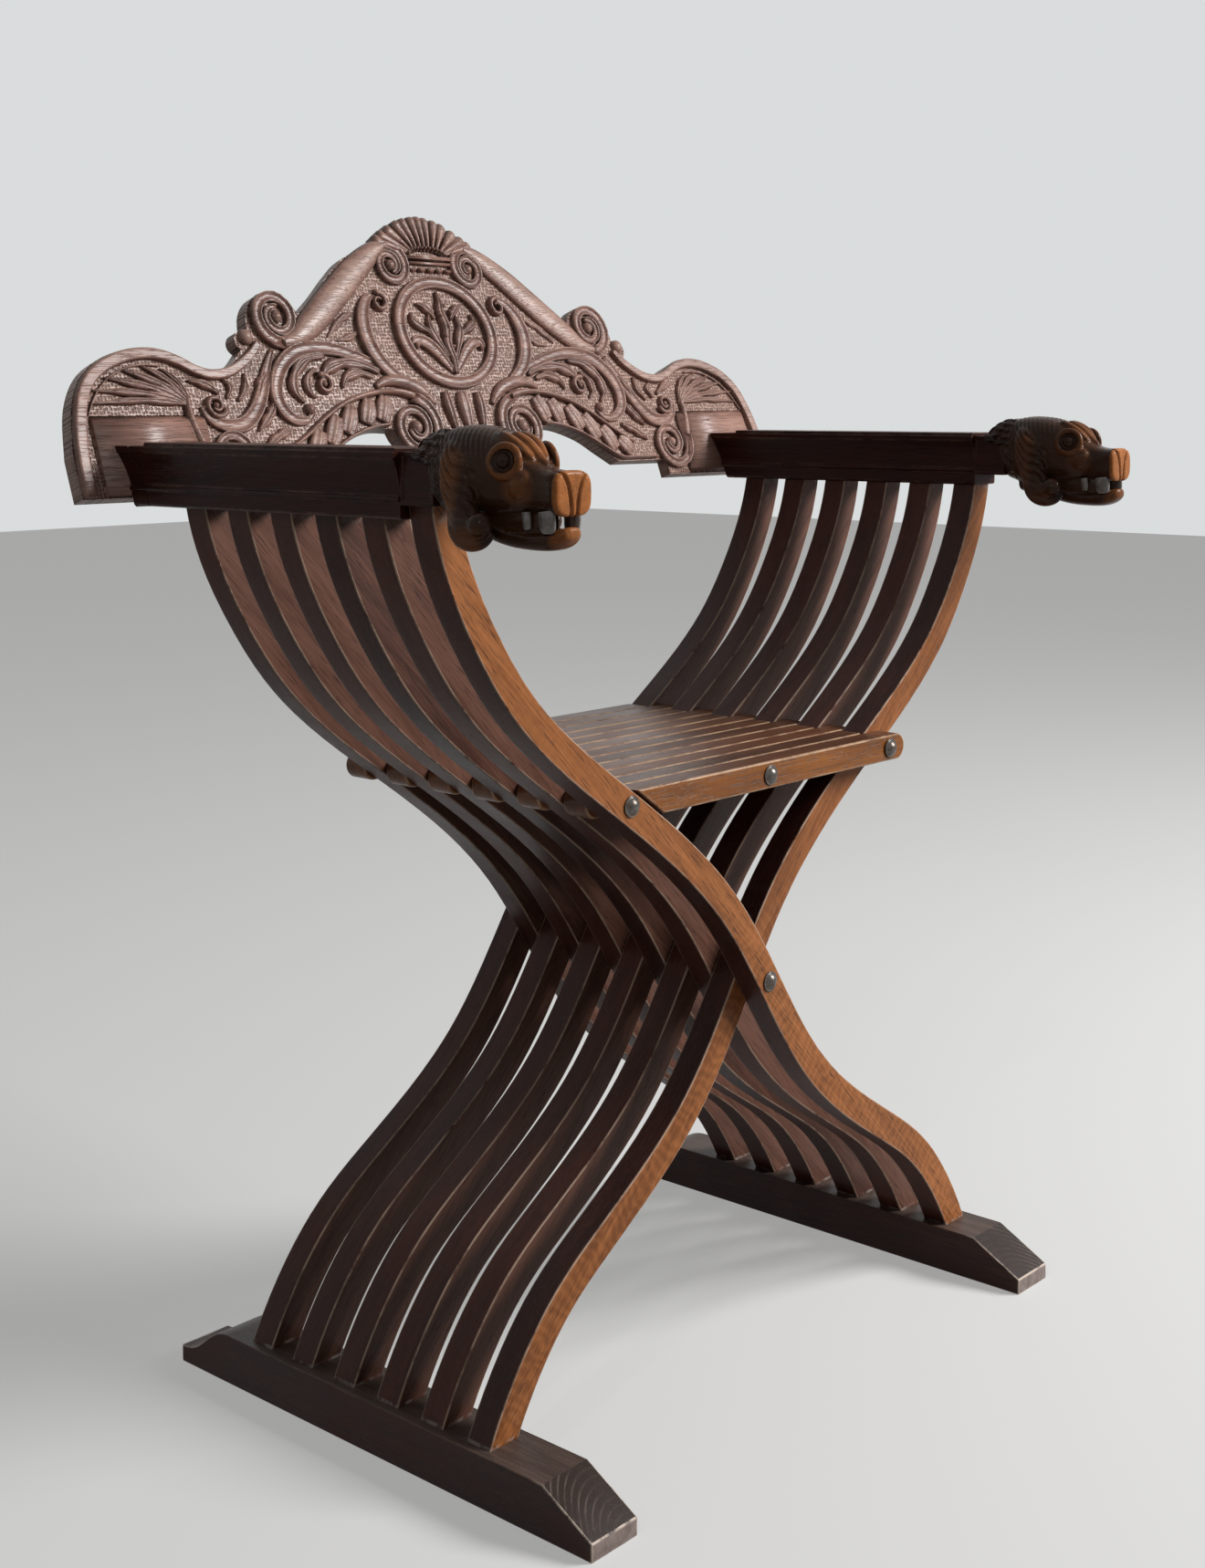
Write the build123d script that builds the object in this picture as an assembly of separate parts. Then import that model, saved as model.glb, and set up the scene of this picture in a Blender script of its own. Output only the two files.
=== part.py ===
from build123d import *
import os
from math import sin, cos, radians

# Savonarola chair, millimetres, +Z up, the sitter faces -Y.
# Two sets of curved leg slats cross at one rod. Set A runs from the left arm to the right
# foot rail, set B is its mirror image. Twelve layers lie one behind the other: the odd ones
# hold a leg slat of set A and a seat slat hinged on set B, the even ones the other way round.

# ---------- driving sizes ----------
TOTAL_HEIGHT = 880.0                 # crest of the backboard above the floor
PITCH = 22.3                         # one layer to the next
LAYER_GAP = 0.8                      # air between neighbouring slats
SETS = 6                             # leg slats in each set
LAYERS = 2 * SETS
SLAT = PITCH - LAYER_GAP             # thickness of a slat, front to back
STACK_DEPTH = LAYERS * PITCH - LAYER_GAP

PIVOT_Z = 296.0                      # the rod where the two sets cross
SEAT_ROD_X = 156.0                   # the rods that carry the seat slats
SEAT_ROD_Z = 450.0
ROD = 4.0                            # radius of every rod
RUNNING_FIT = 0.08                   # radial play of a rod in its hole
FACE_PLAY = 0.4                      # between a nut and the slat that turns under it

FOOT_X = 259.0                       # middle of a foot rail
FOOT_W = 44.0
FOOT_H = 36.0
FOOT_LENGTH = 416.0
FOOT_TOE_H = 12.5                    # upright face at each end of a foot rail
FRONT_SLOPE = 43.0
REAR_SLOPE = 56.0

ARM_X = 330.0                        # middle of an arm rail
ARM_Z = 652.0                        # underside of an arm rail
ARM_H = 44.0
ARM_HALF = 22.5
ARM_CAP = 2.5                        # thin lip on top of an arm rail
ARM_REACH = 21.5                     # arm rail behind the last layer, at its underside
ARM_CAP_SETBACK = 27.0
TENON = 12.0                         # slat into arm rail or foot rail

SEAT_SLAT_H = 20.4
SEAT_TIP = 21.0                      # end of a seat slat past its rod
SEAT_END_GAP = 2.5                   # slanted end of a seat slat to the leg that it bears on

NOSE_REACH = 107.0                   # nose in front of the first layer
HEAD_X = 329.0

RAKE = 20.0                          # backboard leans back, degrees
BOARD_T = 16.5
BOARD_GAP = 0.4                      # backboard to arm rail, all round its cleats
RELIEF = 4.0                         # carving above the sunk ground
CLEAT_L = 13.0
CLEAT_HOOK = 2.5                     # undercut of a cleat
BOARD_END = 386.0                    # half its width
BOARD_FOOT = 7.0                     # its lower edge above the arm rails' underside
BOARD_TOP = (TOTAL_HEIGHT - ARM_Z) / cos(radians(RAKE))

# ---------- places that follow from them ----------
FRONT = -(STACK_DEPTH + ARM_REACH + BOARD_TOP * sin(radians(RAKE))
          + BOARD_T * cos(radians(RAKE)) - NOSE_REACH) / 2      # front of the first layer
REAR = FRONT + STACK_DEPTH
ARM_FRONT = FRONT + SLAT                                        # neck block starts here
ARM_REAR = REAR + ARM_REACH                                     # at the underside
HOLE = ROD + RUNNING_FIT

os.makedirs("parts", exist_ok=True)


def save(name, shape):
    if isinstance(shape, (list, ShapeList)):
        shape = Compound(children=list(shape)) if len(shape) > 1 else shape[0]
    shape.label = name
    export_step(shape, f"parts/{name}.step")


def layer_y(n):
    """Front face of layer n, counted from 1."""
    return FRONT + (n - 1) * PITCH


def upright(face, y, depth):
    """A face drawn as x, z made into a solid from y to y + depth."""
    plane = Plane(origin=(0, y + depth, 0), x_dir=(1, 0, 0), z_dir=(0, -1, 0))
    return extrude(plane * face, amount=depth)


def mirrored(shape):
    return mirror(shape, about=Plane.YZ)


def rod_along_y(x, z, y0, y1, radius):
    plane = Plane(origin=(x, y0, z), x_dir=(1, 0, 0), z_dir=(0, 1, 0))
    return extrude(plane * Circle(radius), amount=y1 - y0)


# ---------- leg slats ----------
LEG_HALF_FOOT = 12.2
LEG_HALF_ARM = 10.8
LEG_STATIONS = 16
PIVOT = (0, PIVOT_Z)
SEAT_ROD = (-SEAT_ROD_X, SEAT_ROD_Z)


def between(start, end, *shares):
    """Points given as shares of the way from start to end, sideways and upwards."""
    return [(start[0] + x * (end[0] - start[0]), start[1] + z * (end[1] - start[1]))
            for x, z in shares]


LEG_LINE = [*between((0, 0), (FOOT_X, PIVOT_Z), (1.027, 0.074), (0.95, 0.199), (0.838, 0.331),
                     (0.533, 0.527), (0.236, 0.726)),
            PIVOT,
            *between(PIVOT, SEAT_ROD, (0.263, 0.364), (0.673, 0.747)),
            *between(SEAT_ROD, (-ARM_X, ARM_Z), (0.178, 0.094), (0.592, 0.386), (0.833, 0.678),
                     (0.977, 0.97), (1, 1.139))]


def leg_face(extra=0.0):
    """Outline of a set A leg slat in x, z, from the arm tenon to the foot tenon."""
    line = Spline(*LEG_LINE)
    sides = ([], [])
    for i in range(LEG_STATIONS + 1):
        u = i / LEG_STATIONS
        at, along = line @ u, line % u
        half = LEG_HALF_FOOT + (LEG_HALF_ARM - LEG_HALF_FOOT) * u + extra
        across = Vector(-along.Y, along.X).normalized() * half
        sides[0].append(at + across)
        sides[1].append(at - across)
    left, right = Spline(*sides[0]), Spline(*sides[1])
    ends = Line(left @ 0, right @ 0) + Line(left @ 1, right @ 1)
    face = make_face([left, right] + list(ends.edges()))
    low, high = FOOT_H - TENON, ARM_Z + TENON
    band = Pos(0, (low + high) / 2) * Rectangle(4 * ARM_X, high - low)
    return face & band


def bored(slat, places, y):
    for x, z in places:
        slat -= rod_along_y(x, z, y - 1, y + SLAT + 1, HOLE)
    return slat


leg = leg_face()
leg_slats_a, leg_slats_b = [], []
for i in range(SETS):
    y_a, y_b = layer_y(2 * i + 1), layer_y(2 * i + 2)
    leg_slats_a.append(bored(upright(leg, y_a, SLAT), [PIVOT, SEAT_ROD], y_a))
    leg_slats_b.append(mirrored(bored(upright(leg, y_b, SLAT), [PIVOT, SEAT_ROD], y_b)))

# ---------- seat slats ----------


def seat_face():
    """Outline of a seat slat hinged on the right: round tip at +x, slanted end at -x."""
    half = SEAT_SLAT_H / 2
    tip = SEAT_ROD_X + SEAT_TIP - half
    bar = Pos((tip - SEAT_ROD_X) / 2, SEAT_ROD_Z) * Rectangle(tip + SEAT_ROD_X, SEAT_SLAT_H)
    bar += Pos(tip, SEAT_ROD_Z) * Circle(half)
    bar -= leg_face(SEAT_END_GAP)
    corner = bar.vertices().filter_by(lambda v: abs(v.Y - SEAT_ROD_Z + half) < 0.01)
    return fillet(corner.sort_by(Axis.X)[0], half * 0.7)


seat = seat_face()
SEAT_HOLES = [(SEAT_ROD_X, SEAT_ROD_Z), (0, SEAT_ROD_Z)]
seat_slats_r, seat_slats_l = [], []
for i in range(SETS):
    y_r, y_l = layer_y(2 * i + 1), layer_y(2 * i + 2)
    seat_slats_r.append(bored(upright(seat, y_r, SLAT), SEAT_HOLES, y_r))
    seat_slats_l.append(mirrored(bored(upright(seat, y_l, SLAT), SEAT_HOLES, y_l)))

# ---------- rods with domed heads and nuts ----------
HEAD_R = 7.5
HEAD_RIM = 1.2
HEAD_DOME = 3.6
NUT_R = 6.0


def domed(radius):
    """A domed head on a flat rim, its flat face at the origin, standing out along +Z."""
    rim = Pos(0, 0, HEAD_RIM / 2) * Cylinder(radius, HEAD_RIM)
    inner = radius * 0.82
    sphere = (inner ** 2 + HEAD_DOME ** 2) / (2 * HEAD_DOME)
    ball = Pos(0, 0, HEAD_RIM + HEAD_DOME - sphere) * Sphere(sphere)
    keep = Pos(0, 0, HEAD_RIM + HEAD_DOME / 2) * Cylinder(inner, HEAD_DOME)
    return rim + (ball & keep)


def head_at(x, z, y, radius, front):
    facing = Plane(origin=(x, y, z), x_dir=(1, 0, 0), z_dir=(0, -1 if front else 1, 0))
    return facing * domed(radius)


def through_rod(x, z, front_play, rear_play):
    """A rod through all layers with its front head, and its rear nut as a second solid."""
    y0, y1 = FRONT - front_play, REAR + rear_play
    rod = rod_along_y(x, z, y0 - HEAD_RIM, y1, ROD) + head_at(x, z, y0, HEAD_R, True)
    return rod, head_at(x, z, y1, NUT_R, False)


rod_pivot, nut_pivot = through_rod(0, PIVOT_Z, 0, FACE_PLAY)
rod_left, nut_left = through_rod(-SEAT_ROD_X, SEAT_ROD_Z, 0, FACE_PLAY)
rod_right, nut_right = through_rod(SEAT_ROD_X, SEAT_ROD_Z, FACE_PLAY, 0)

# The seat centre rod is the pivot at which the linkage is opened: one short length in each
# seat slat, so that the two halves of the seat part there as the chair folds.
centre_r = [rod_along_y(0, SEAT_ROD_Z, layer_y(2 * i + 1), layer_y(2 * i + 1) + SLAT, ROD)
            for i in range(SETS)]
centre_r[0] += head_at(0, SEAT_ROD_Z, FRONT, HEAD_R, True)
centre_l = [rod_along_y(0, SEAT_ROD_Z, layer_y(2 * i + 2), layer_y(2 * i + 2) + SLAT, ROD)
            for i in range(SETS)]
centre_l[-1] += head_at(0, SEAT_ROD_Z, REAR, NUT_R, False)

# ---------- foot rails ----------


def foot_rail(slats):
    """Rail at +x under the given slats: straight bevel in front, ogee behind."""
    middle = (FRONT + REAR) / 2
    y0, y1 = middle - FOOT_LENGTH / 2, middle + FOOT_LENGTH / 2
    toe, top = FOOT_TOE_H, FOOT_H
    knee = (y1 - REAR_SLOPE / 2, (toe + top) / 2)
    front = Line((y0 + FRONT_SLOPE, top), (y0, toe))
    under = Polyline((y0, toe), (y0, 0), (y1, 0), (y1, toe))
    ogee = Spline((y1, toe), knee, (y1 - REAR_SLOPE, top), tangents=[(-1, 0), (-1, 0)])
    deck = Line((y1 - REAR_SLOPE, top), (y0 + FRONT_SLOPE, top))
    side = make_face([*front.edges(), *under.edges(), *ogee.edges(), *deck.edges()])
    plane = Plane(origin=(FOOT_X - FOOT_W / 2, 0, 0), x_dir=(0, 1, 0), z_dir=(1, 0, 0))
    rail = extrude(plane * side, amount=FOOT_W)
    for slat in slats:
        rail -= slat
    return rail


foot_right = foot_rail(leg_slats_a)
foot_left = mirrored(foot_rail([mirrored(s) for s in leg_slats_b]))

# ---------- arm rails ----------
ARM_SOLE = 15.0                      # half the flat underside
ARM_BEAD_Z = 11.0
ARM_BEAD = 1.6
BODY_H = ARM_H - ARM_CAP

board_plane = Plane(origin=(0, ARM_REAR, ARM_Z), x_dir=(1, 0, 0),
                    z_dir=(0, -cos(radians(RAKE)), sin(radians(RAKE))))


def arm_section():
    """Moulded section of an arm rail about its own middle, underside at 0."""
    lower = ARM_SOLE + 1.5
    bead_top = ARM_BEAD_Z + 2 * ARM_BEAD
    shelf = BODY_H - 5
    half = Polyline((0, 0), (ARM_SOLE, 0), (lower, 1.5), (lower, ARM_BEAD_Z))
    half += ThreePointArc((lower, ARM_BEAD_Z), (lower + ARM_BEAD, ARM_BEAD_Z + ARM_BEAD),
                          (lower, bead_top))
    half += ThreePointArc((lower, bead_top), (lower + 1.6, bead_top + 12),
                          (ARM_HALF - 1, shelf))
    half += Polyline((ARM_HALF - 1, shelf), (ARM_HALF, shelf + 1), (ARM_HALF, BODY_H),
                     (0, BODY_H), (0, 0))
    side = make_face(half.edges())
    return side + mirror(side, about=Plane.YZ)


def along_arm(face, x, y0, y1):
    plane = Plane(origin=(x, y1, ARM_Z), x_dir=(1, 0, 0), z_dir=(0, -1, 0))
    return extrude(plane * face, amount=y1 - y0)


def behind(offset):
    """Everything behind the plane that lies that far in front of the backboard's face."""
    size = 4 * ARM_H
    block = Pos(0, 0, offset - size / 2) * Box(3 * ARM_X, 3 * size, size)
    return board_plane * block


def cleat_zone(x, outward, grow):
    """Room of a cleat on the outer half of an arm rail, undercut towards the board."""
    root, tip, reach = -grow, -CLEAT_HOOK - grow, CLEAT_L + grow
    far, slope = ARM_X, CLEAT_HOOK / CLEAT_L
    corners = [(x + outward * root, 0), (x + outward * far, 0), (x + outward * far, reach),
               (x + outward * (tip - slope * grow), reach)]
    face = make_face(Polyline(*corners, corners[0]).edges())
    across = Plane(origin=board_plane.origin, x_dir=(1, 0, 0), z_dir=-board_plane.y_dir)
    return extrude(across * face, amount=3 * ARM_H, both=True)


def arm_rail(x, slats):
    far = ARM_REAR + 2 * ARM_H
    rail = along_arm(arm_section(), x, ARM_FRONT, far) - behind(BOARD_GAP)
    rail -= cleat_zone(x, 1 if x > 0 else -1, BOARD_GAP)
    lip = Pos(0, BODY_H + ARM_CAP / 2) * Rectangle(2 * ARM_HALF - 4, ARM_CAP)
    rail += along_arm(lip, x, ARM_FRONT, ARM_REAR - ARM_CAP_SETBACK + CLEAT_L)
    for slat in slats:
        rail -= slat
    return rail


arm_left = arm_rail(-ARM_X, leg_slats_a)
arm_right = arm_rail(ARM_X, leg_slats_b)

# ---------- carved heads, drawn from the front of the first layer forwards ----------
NECK_W = 35.0
NECK_UP = 9.0                        # heights above the arm rail's underside
CROWN_UP = 58.0
MUZZLE_UP = 19.0
THROAT_DOWN = 15.0
NECK_END = 8.0
HEAD_W = 54.0                        # over the cheeks
MUZZLE_R = 14.0
NOSE_T = 10.0
NOSE_RADIUS = 7.0
EAR_T = 7.0
EAR_R = 21.0
EYE = (17.0, 69.0, 37.0, 6.5)        # sideways, forwards, up, radius
EAR = (24.0, 36.0, 24.0)
LOBE = (25.0, 47.0, -2.0, 12.0)
FANG = (9.0, 90.0, 2.0)
FANG_R = 3.0
FANG_L = 16.0
NECK_Z = ARM_Z + NECK_UP
CROWN_Z = ARM_Z + CROWN_UP
THROAT_Z = ARM_Z - THROAT_DOWN

front_face = Plane(origin=(0, FRONT, 0), x_dir=(1, 0, 0), z_dir=(0, -1, 0))


def head_spots(*shares):
    """Points of the side view, given as shares of the head's length and of its height."""
    return between((0, THROAT_Z), (NOSE_REACH, CROWN_Z), *shares)


def on_head(side, place):
    """A place given sideways, forwards and up from the arm rail's underside."""
    return Pos(side * place[0], FRONT - place[1], ARM_Z + place[2])


def head_side():
    """Side view: forwards, height; the mouth is open between palate and tongue line."""
    neck_top = ARM_Z + ARM_H - ARM_CAP
    nape = -0.7 * SLAT
    crown = Spline((nape, neck_top), *head_spots((-0.05, 0.87), (0.12, 0.97), (0.27, 1.0),
                                                 (0.44, 0.98), (0.58, 0.92), (0.7, 0.8),
                                                 (0.79, 0.69), (0.925, 0.66)))
    palate = Spline(*head_spots((0.925, 0.29), (0.77, 0.33), (0.54, 0.24)))
    tongue = Spline(*head_spots((0.54, 0.24), (0.62, 0.14), (0.8, 0.11), (0.98, 0.17)))
    chin = Spline(*head_spots((1.0, 0.12), (0.87, 0.0), (0.62, 0.02), (0.36, 0.1)),
                  (NECK_END, NECK_Z))
    back = Polyline((NECK_END, NECK_Z), (-SLAT, NECK_Z), (-SLAT, neck_top), (nape, neck_top))
    joins = [Line(crown @ 1, palate @ 0), Line(tongue @ 1, chin @ 0)]
    return make_face([edge for line in (crown, palate, tongue, chin, back, *joins)
                      for edge in line.edges()])


def head_plan():
    """Half of the top view: sideways, forwards."""
    bridge = MUZZLE_R - 1
    cheek = Spline((NECK_W / 2, NECK_END), (HEAD_W / 2, 0.36 * NOSE_REACH),
                   (0.4 * HEAD_W, 0.64 * NOSE_REACH), (bridge, 0.79 * NOSE_REACH))
    line = [*cheek.edges()]
    line += Polyline(cheek @ 1, (bridge, NOSE_REACH), (0, NOSE_REACH), (0, -SLAT),
                     (NECK_W / 2, -SLAT), (NECK_W / 2, NECK_END)).edges()
    half = make_face(line)
    return half + mirror(half, about=Plane.YZ)


def hound_head(x, slats):
    """An open-mouthed hound's head on a square neck block, looking to -Y."""
    side_view = Plane(origin=(0, FRONT, 0), x_dir=(0, -1, 0), z_dir=(-1, 0, 0))
    top_view = Plane(origin=(0, FRONT, 0), x_dir=(-1, 0, 0), z_dir=(0, 0, 1))
    tall = CROWN_Z - THROAT_Z
    oval = Pos(0, THROAT_Z + tall / 2) * RectangleRounded(HEAD_W, tall, 0.36 * HEAD_W)
    head = extrude(side_view * head_side(), amount=HEAD_W, both=True)
    head &= extrude(top_view * head_plan(), amount=TOTAL_HEIGHT)
    head &= extrude(front_face * oval, amount=2 * NOSE_REACH, both=True)
    nose = RectangleRounded(2 * MUZZLE_R, 2 * MUZZLE_R - 1, NOSE_RADIUS)
    muzzle_front = front_face.offset(NOSE_REACH - NOSE_T)
    head += extrude(muzzle_front * Pos(0, ARM_Z + MUZZLE_UP) * nose, amount=NOSE_T)
    for side in (-1, 1):
        head += on_head(side, EYE) * Sphere(EYE[3])
        ear = on_head(side, EAR) * Rotation(0, 90, 0)
        disc = Cylinder(EAR_R, 2 * EAR_T)
        head += ear * fillet(disc.edges(), EAR_T * 0.8)
        head += on_head(side, LOBE) * Sphere(LOBE[3])
        head += on_head(side, FANG) * Cone(FANG_R / 4, FANG_R, FANG_L)
    head = Pos(x, 0, 0) * head
    for slat in slats:
        head -= slat
    return head


head_left = hound_head(-HEAD_X, leg_slats_a[:1])
head_right = hound_head(HEAD_X, [])

# ---------- carved backboard, drawn on its own raked face: x, height above the arms ----------
RING_W = 9.0
EYE_SHARE = 0.4                      # eye of a volute as a share of its radius


def spots(*shares):
    """Points of the board, given in hundredths of its half width and of its height."""
    return [(x / 100 * BOARD_END, z / 100 * BOARD_TOP) for x, z in shares]


SCROLL, TOP_VOLUTE, LOW_VOLUTE, CORNER_VOLUTE = spots((46.1, 60.2), (11.4, 80.2), (15.8, 22.3),
                                                      (65.3, 15.7))
VOLUTES = ((SCROLL, 19.0), (TOP_VOLUTE, 17.0), (LOW_VOLUTE, 18.0), (CORNER_VOLUTE, 18.0))
MEDAL, MEDAL_EDGE = spots((0, 56.7), (14.8, 20.4))


def board_outline():
    crest, volute, scroll, bead, rise, foot = spots((14.0, 89.0), (39.9, 61.8), (53.6, 58.9),
                                                    (54.1, 54.8), (76.7, 48.6), (62.2, 8.7))
    dip, low, heel = spots((56.5, 49.1), (45.3, 8.7), (10.6, 19.4))
    arch = spots((21.8, 22.3))[0]
    arcs = [ThreePointArc((0, BOARD_TOP), *spots((8.0, 96.9)), crest).edges()[0]]
    arcs += Spline(crest, *spots((23.1, 82.9), (28.8, 76.3), (33.9, 69.2)), volute).edges()
    arcs += ThreePointArc(volute, *spots((47.7, 68.4)), scroll).edges()
    arcs += Line(scroll, bead).edges()
    arcs += ThreePointArc(bead, *spots((57.3, 53.6)), dip).edges()
    arcs += Spline(dip, *spots((60.6, 43.7), (66.1, 42.5), (72.0, 45.8)), rise).edges()
    arcs += Spline(rise, *spots((85.5, 47.8), (93.3, 42.0), (97.9, 31.3)),
                   (BOARD_END, 0.16 * BOARD_TOP)).edges()
    arcs += Polyline((BOARD_END, 0.16 * BOARD_TOP), (BOARD_END, BOARD_FOOT),
                     (foot[0], BOARD_FOOT), foot, low).edges()
    arcs += Spline(low, *spots((40.7, 13.2), (35.2, 18.5), (27.7, 22.3)), arch).edges()
    arcs += ThreePointArc(arch, *spots((15.8, 14.4)), heel).edges()
    arcs += ThreePointArc(heel, *spots((6.2, 21.0), (0, 15.7))).edges()
    half = make_face(arcs + [Line(*spots((0, 15.7)), (0, BOARD_TOP)).edges()[0]])
    return half + mirror(half, about=Plane.YZ)


def on_board(face, low, high):
    """A face in the board's own x, height made into a solid between two depths."""
    plane = board_plane.offset(low)
    return extrude(plane * face, amount=high - low)


def both_sides(face):
    return [face, mirror(face, about=Plane.YZ)]


def ground():
    """Half of the sunk ground between border, shell, ring and pad."""
    line = Spline(*spots((0, 82.5), (14.5, 80.8), (23.8, 72), (34.7, 60.5), (41.5, 52),
                         (53.4, 45.5), (62.2, 38), (69.4, 38.5)))
    foot = Spline(*spots((67.9, 12), (45.3, 12.5), (36.3, 22), (26.9, 26.5), (16.7, 30), (7.3, 27),
                         (0, 22)))
    sides = [Line(line @ 1, foot @ 0), Line(foot @ 1, line @ 0)]
    half = make_face([*line.edges(), *foot.edges(), *sides[0].edges(), *sides[1].edges()])
    return half + mirror(half, about=Plane.YZ)


def backboard():
    ring = Ellipse(*MEDAL_EDGE) - Ellipse(MEDAL_EDGE[0] - RING_W, MEDAL_EDGE[1] - RING_W)
    board = on_board(board_outline(), -BOARD_T, 0) - on_board(ground(), -RELIEF, RELIEF)
    board += on_board(Pos(*MEDAL) * ring, -RELIEF, 0)
    for (x, z), r in VOLUTES:
        for disc in both_sides(Pos(x, z) * Circle(r)):
            board += on_board(disc, -2 * RELIEF, 0)
        for eye in both_sides(Pos(x, z) * Circle(r * EYE_SHARE)):
            board -= on_board(eye, -RELIEF / 2, RELIEF)
    for side in (-1, 1):
        bar = along_arm(arm_section(), side * ARM_X, ARM_FRONT, ARM_REAR + 2 * ARM_H)
        board += (bar & cleat_zone(side * ARM_X, side, 0)) - behind(0)
    return board


back = backboard()

# ---------- the parts ----------
for i in range(SETS):
    save(f"leg_a{i + 1}", leg_slats_a[i])
    save(f"leg_b{i + 1}", leg_slats_b[i])
    save(f"seat_r{i + 1}", seat_slats_r[i])
    save(f"seat_l{i + 1}", seat_slats_l[i])
save("arm_left", arm_left)
save("arm_right", arm_right)
save("head_left", head_left)
save("head_right", head_right)
save("foot_left", foot_left)
save("foot_right", foot_right)
save("backboard", back)
save("rod_pivot", rod_pivot)
save("nut_pivot", nut_pivot)
save("rod_seat_left", rod_left)
save("nut_seat_left", nut_left)
save("rod_seat_right", rod_right)
save("nut_seat_right", nut_right)
save("rod_centre_r", centre_r)
save("rod_centre_l", centre_l)
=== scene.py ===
from cmath import phase, rect
from math import atan2, cos, degrees, hypot, pi, radians, sin

import bmesh
import bpy
from mathutils import Matrix, Vector
from mathutils.bvhtree import BVHTree


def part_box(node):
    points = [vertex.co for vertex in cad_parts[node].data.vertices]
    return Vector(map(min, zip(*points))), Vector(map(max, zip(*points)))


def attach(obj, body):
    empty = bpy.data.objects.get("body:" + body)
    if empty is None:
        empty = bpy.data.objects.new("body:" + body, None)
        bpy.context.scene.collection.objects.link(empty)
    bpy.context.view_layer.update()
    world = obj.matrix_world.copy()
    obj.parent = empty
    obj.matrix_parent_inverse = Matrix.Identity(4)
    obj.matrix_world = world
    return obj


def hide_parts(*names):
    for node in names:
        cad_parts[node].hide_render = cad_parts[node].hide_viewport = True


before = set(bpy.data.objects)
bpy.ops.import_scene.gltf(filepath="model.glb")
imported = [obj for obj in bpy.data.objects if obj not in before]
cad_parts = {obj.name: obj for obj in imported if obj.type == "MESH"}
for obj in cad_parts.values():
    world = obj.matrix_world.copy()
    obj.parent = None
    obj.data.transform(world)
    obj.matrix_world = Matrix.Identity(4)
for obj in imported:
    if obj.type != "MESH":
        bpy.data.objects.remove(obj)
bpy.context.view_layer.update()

MM = 0.001

# ---------- places on the frame, in millimetres ----------
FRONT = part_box("leg_a1")[0].y / MM       # front face of the foremost slat
PITCH = (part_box("leg_b1")[0].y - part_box("leg_a1")[0].y) / MM     # from one layer to the next
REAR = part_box("leg_b6")[1].y / MM
ARM_REAR = REAR + 21.5                   # rear ends of the arm rails, where the board hooks on
ARM_Z = 652.0                            # underside of the arm rails
FOOT_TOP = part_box("foot_left")[1].z
HEAD_X = 329.0                           # middle of each head
CHAIR_TOP = 880.0
RAKE = radians(20)                       # how far the board leans back
BOARD_END = 386.0                        # half the board's width
BOARD_TOP = (CHAIR_TOP - ARM_Z) / cos(RAKE)
BOARD_FOOT = 7.0
BOARD_T = 16.5                           # from the board's face to its back
GROUND = -4.0                            # sunk ground of the carving, behind the board's face

board_place = Matrix(((1, 0, 0, 0),
                      (0, sin(RAKE), -cos(RAKE), ARM_REAR),
                      (0, cos(RAKE), sin(RAKE), ARM_Z),
                      (0, 0, 0, 1)))


# ---------- shaping helpers ----------
def flow(points, steps=6):
    """A smooth line through the points; whatever else each point holds flows with it."""
    line, last = [], len(points) - 1
    for i in range(last):
        near = points[max(i - 1, 0)], points[i], points[i + 1], points[min(i + 2, last)]
        for k in range(steps):
            t = k / steps
            line.append(tuple(0.5 * (2 * q + (r - p) * t + (2 * p - 5 * q + 4 * r - s) * t * t
                                     + (3 * q - p - 3 * r + s) * t ** 3)
                              for p, q, r, s in zip(*near)))
    return line + [tuple(points[-1])]


def arc(a, b, c, steps=10):
    """Points of the circle arc from a over b to c, worked out on the complex plane."""
    a, b, c = complex(*a), complex(*b), complex(*c)
    lean = (c - a) / (b - a)
    centre = a + (b - a) * (lean - abs(lean) ** 2) / (2j * lean.imag)
    middle, end = (phase((p - centre) / (a - centre)) % (2 * pi) for p in (b, c))
    if middle > end:                     # b lies on the way round clockwise
        end -= 2 * pi
    turned = [centre + (a - centre) * rect(1, end * k / steps) for k in range(steps + 1)]
    return [(p.real, p.imag) for p in turned]


def skin(rings):
    """A closed shell over rings of equally many points, laid from a grid; ends are filled."""
    count = len(rings[0])
    shell = bmesh.new()
    bmesh.ops.create_grid(shell, x_segments=len(rings) - 1, y_segments=count, size=1)
    for v in shell.verts:
        i = round((v.co.x + 1) / 2 * (len(rings) - 1))
        j = round((v.co.y + 1) / 2 * count) % count
        v.co = rings[i][j]
    bmesh.ops.remove_doubles(shell, verts=shell.verts, dist=1e-4)
    open_edges = [e for e in shell.edges if e.is_boundary]
    bmesh.ops.holes_fill(shell, edges=open_edges, sides=0)
    bmesh.ops.recalc_face_normals(shell, faces=shell.faces)
    return shell


def to_mesh(name, shell):
    mesh = bpy.data.meshes.new(name)
    shell.to_mesh(mesh)
    shell.free()
    return mesh


def placed(name, data):
    """A new object in the scene, at the origin."""
    made = bpy.data.objects.new(name, data)
    bpy.context.scene.collection.objects.link(made)
    return made


def gather(shells):
    """All shells in one bmesh."""
    whole = bmesh.new()
    for shell in shells:
        mesh = to_mesh("part", shell)
        whole.from_mesh(mesh)
        bpy.data.meshes.remove(mesh)
    return whole


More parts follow.
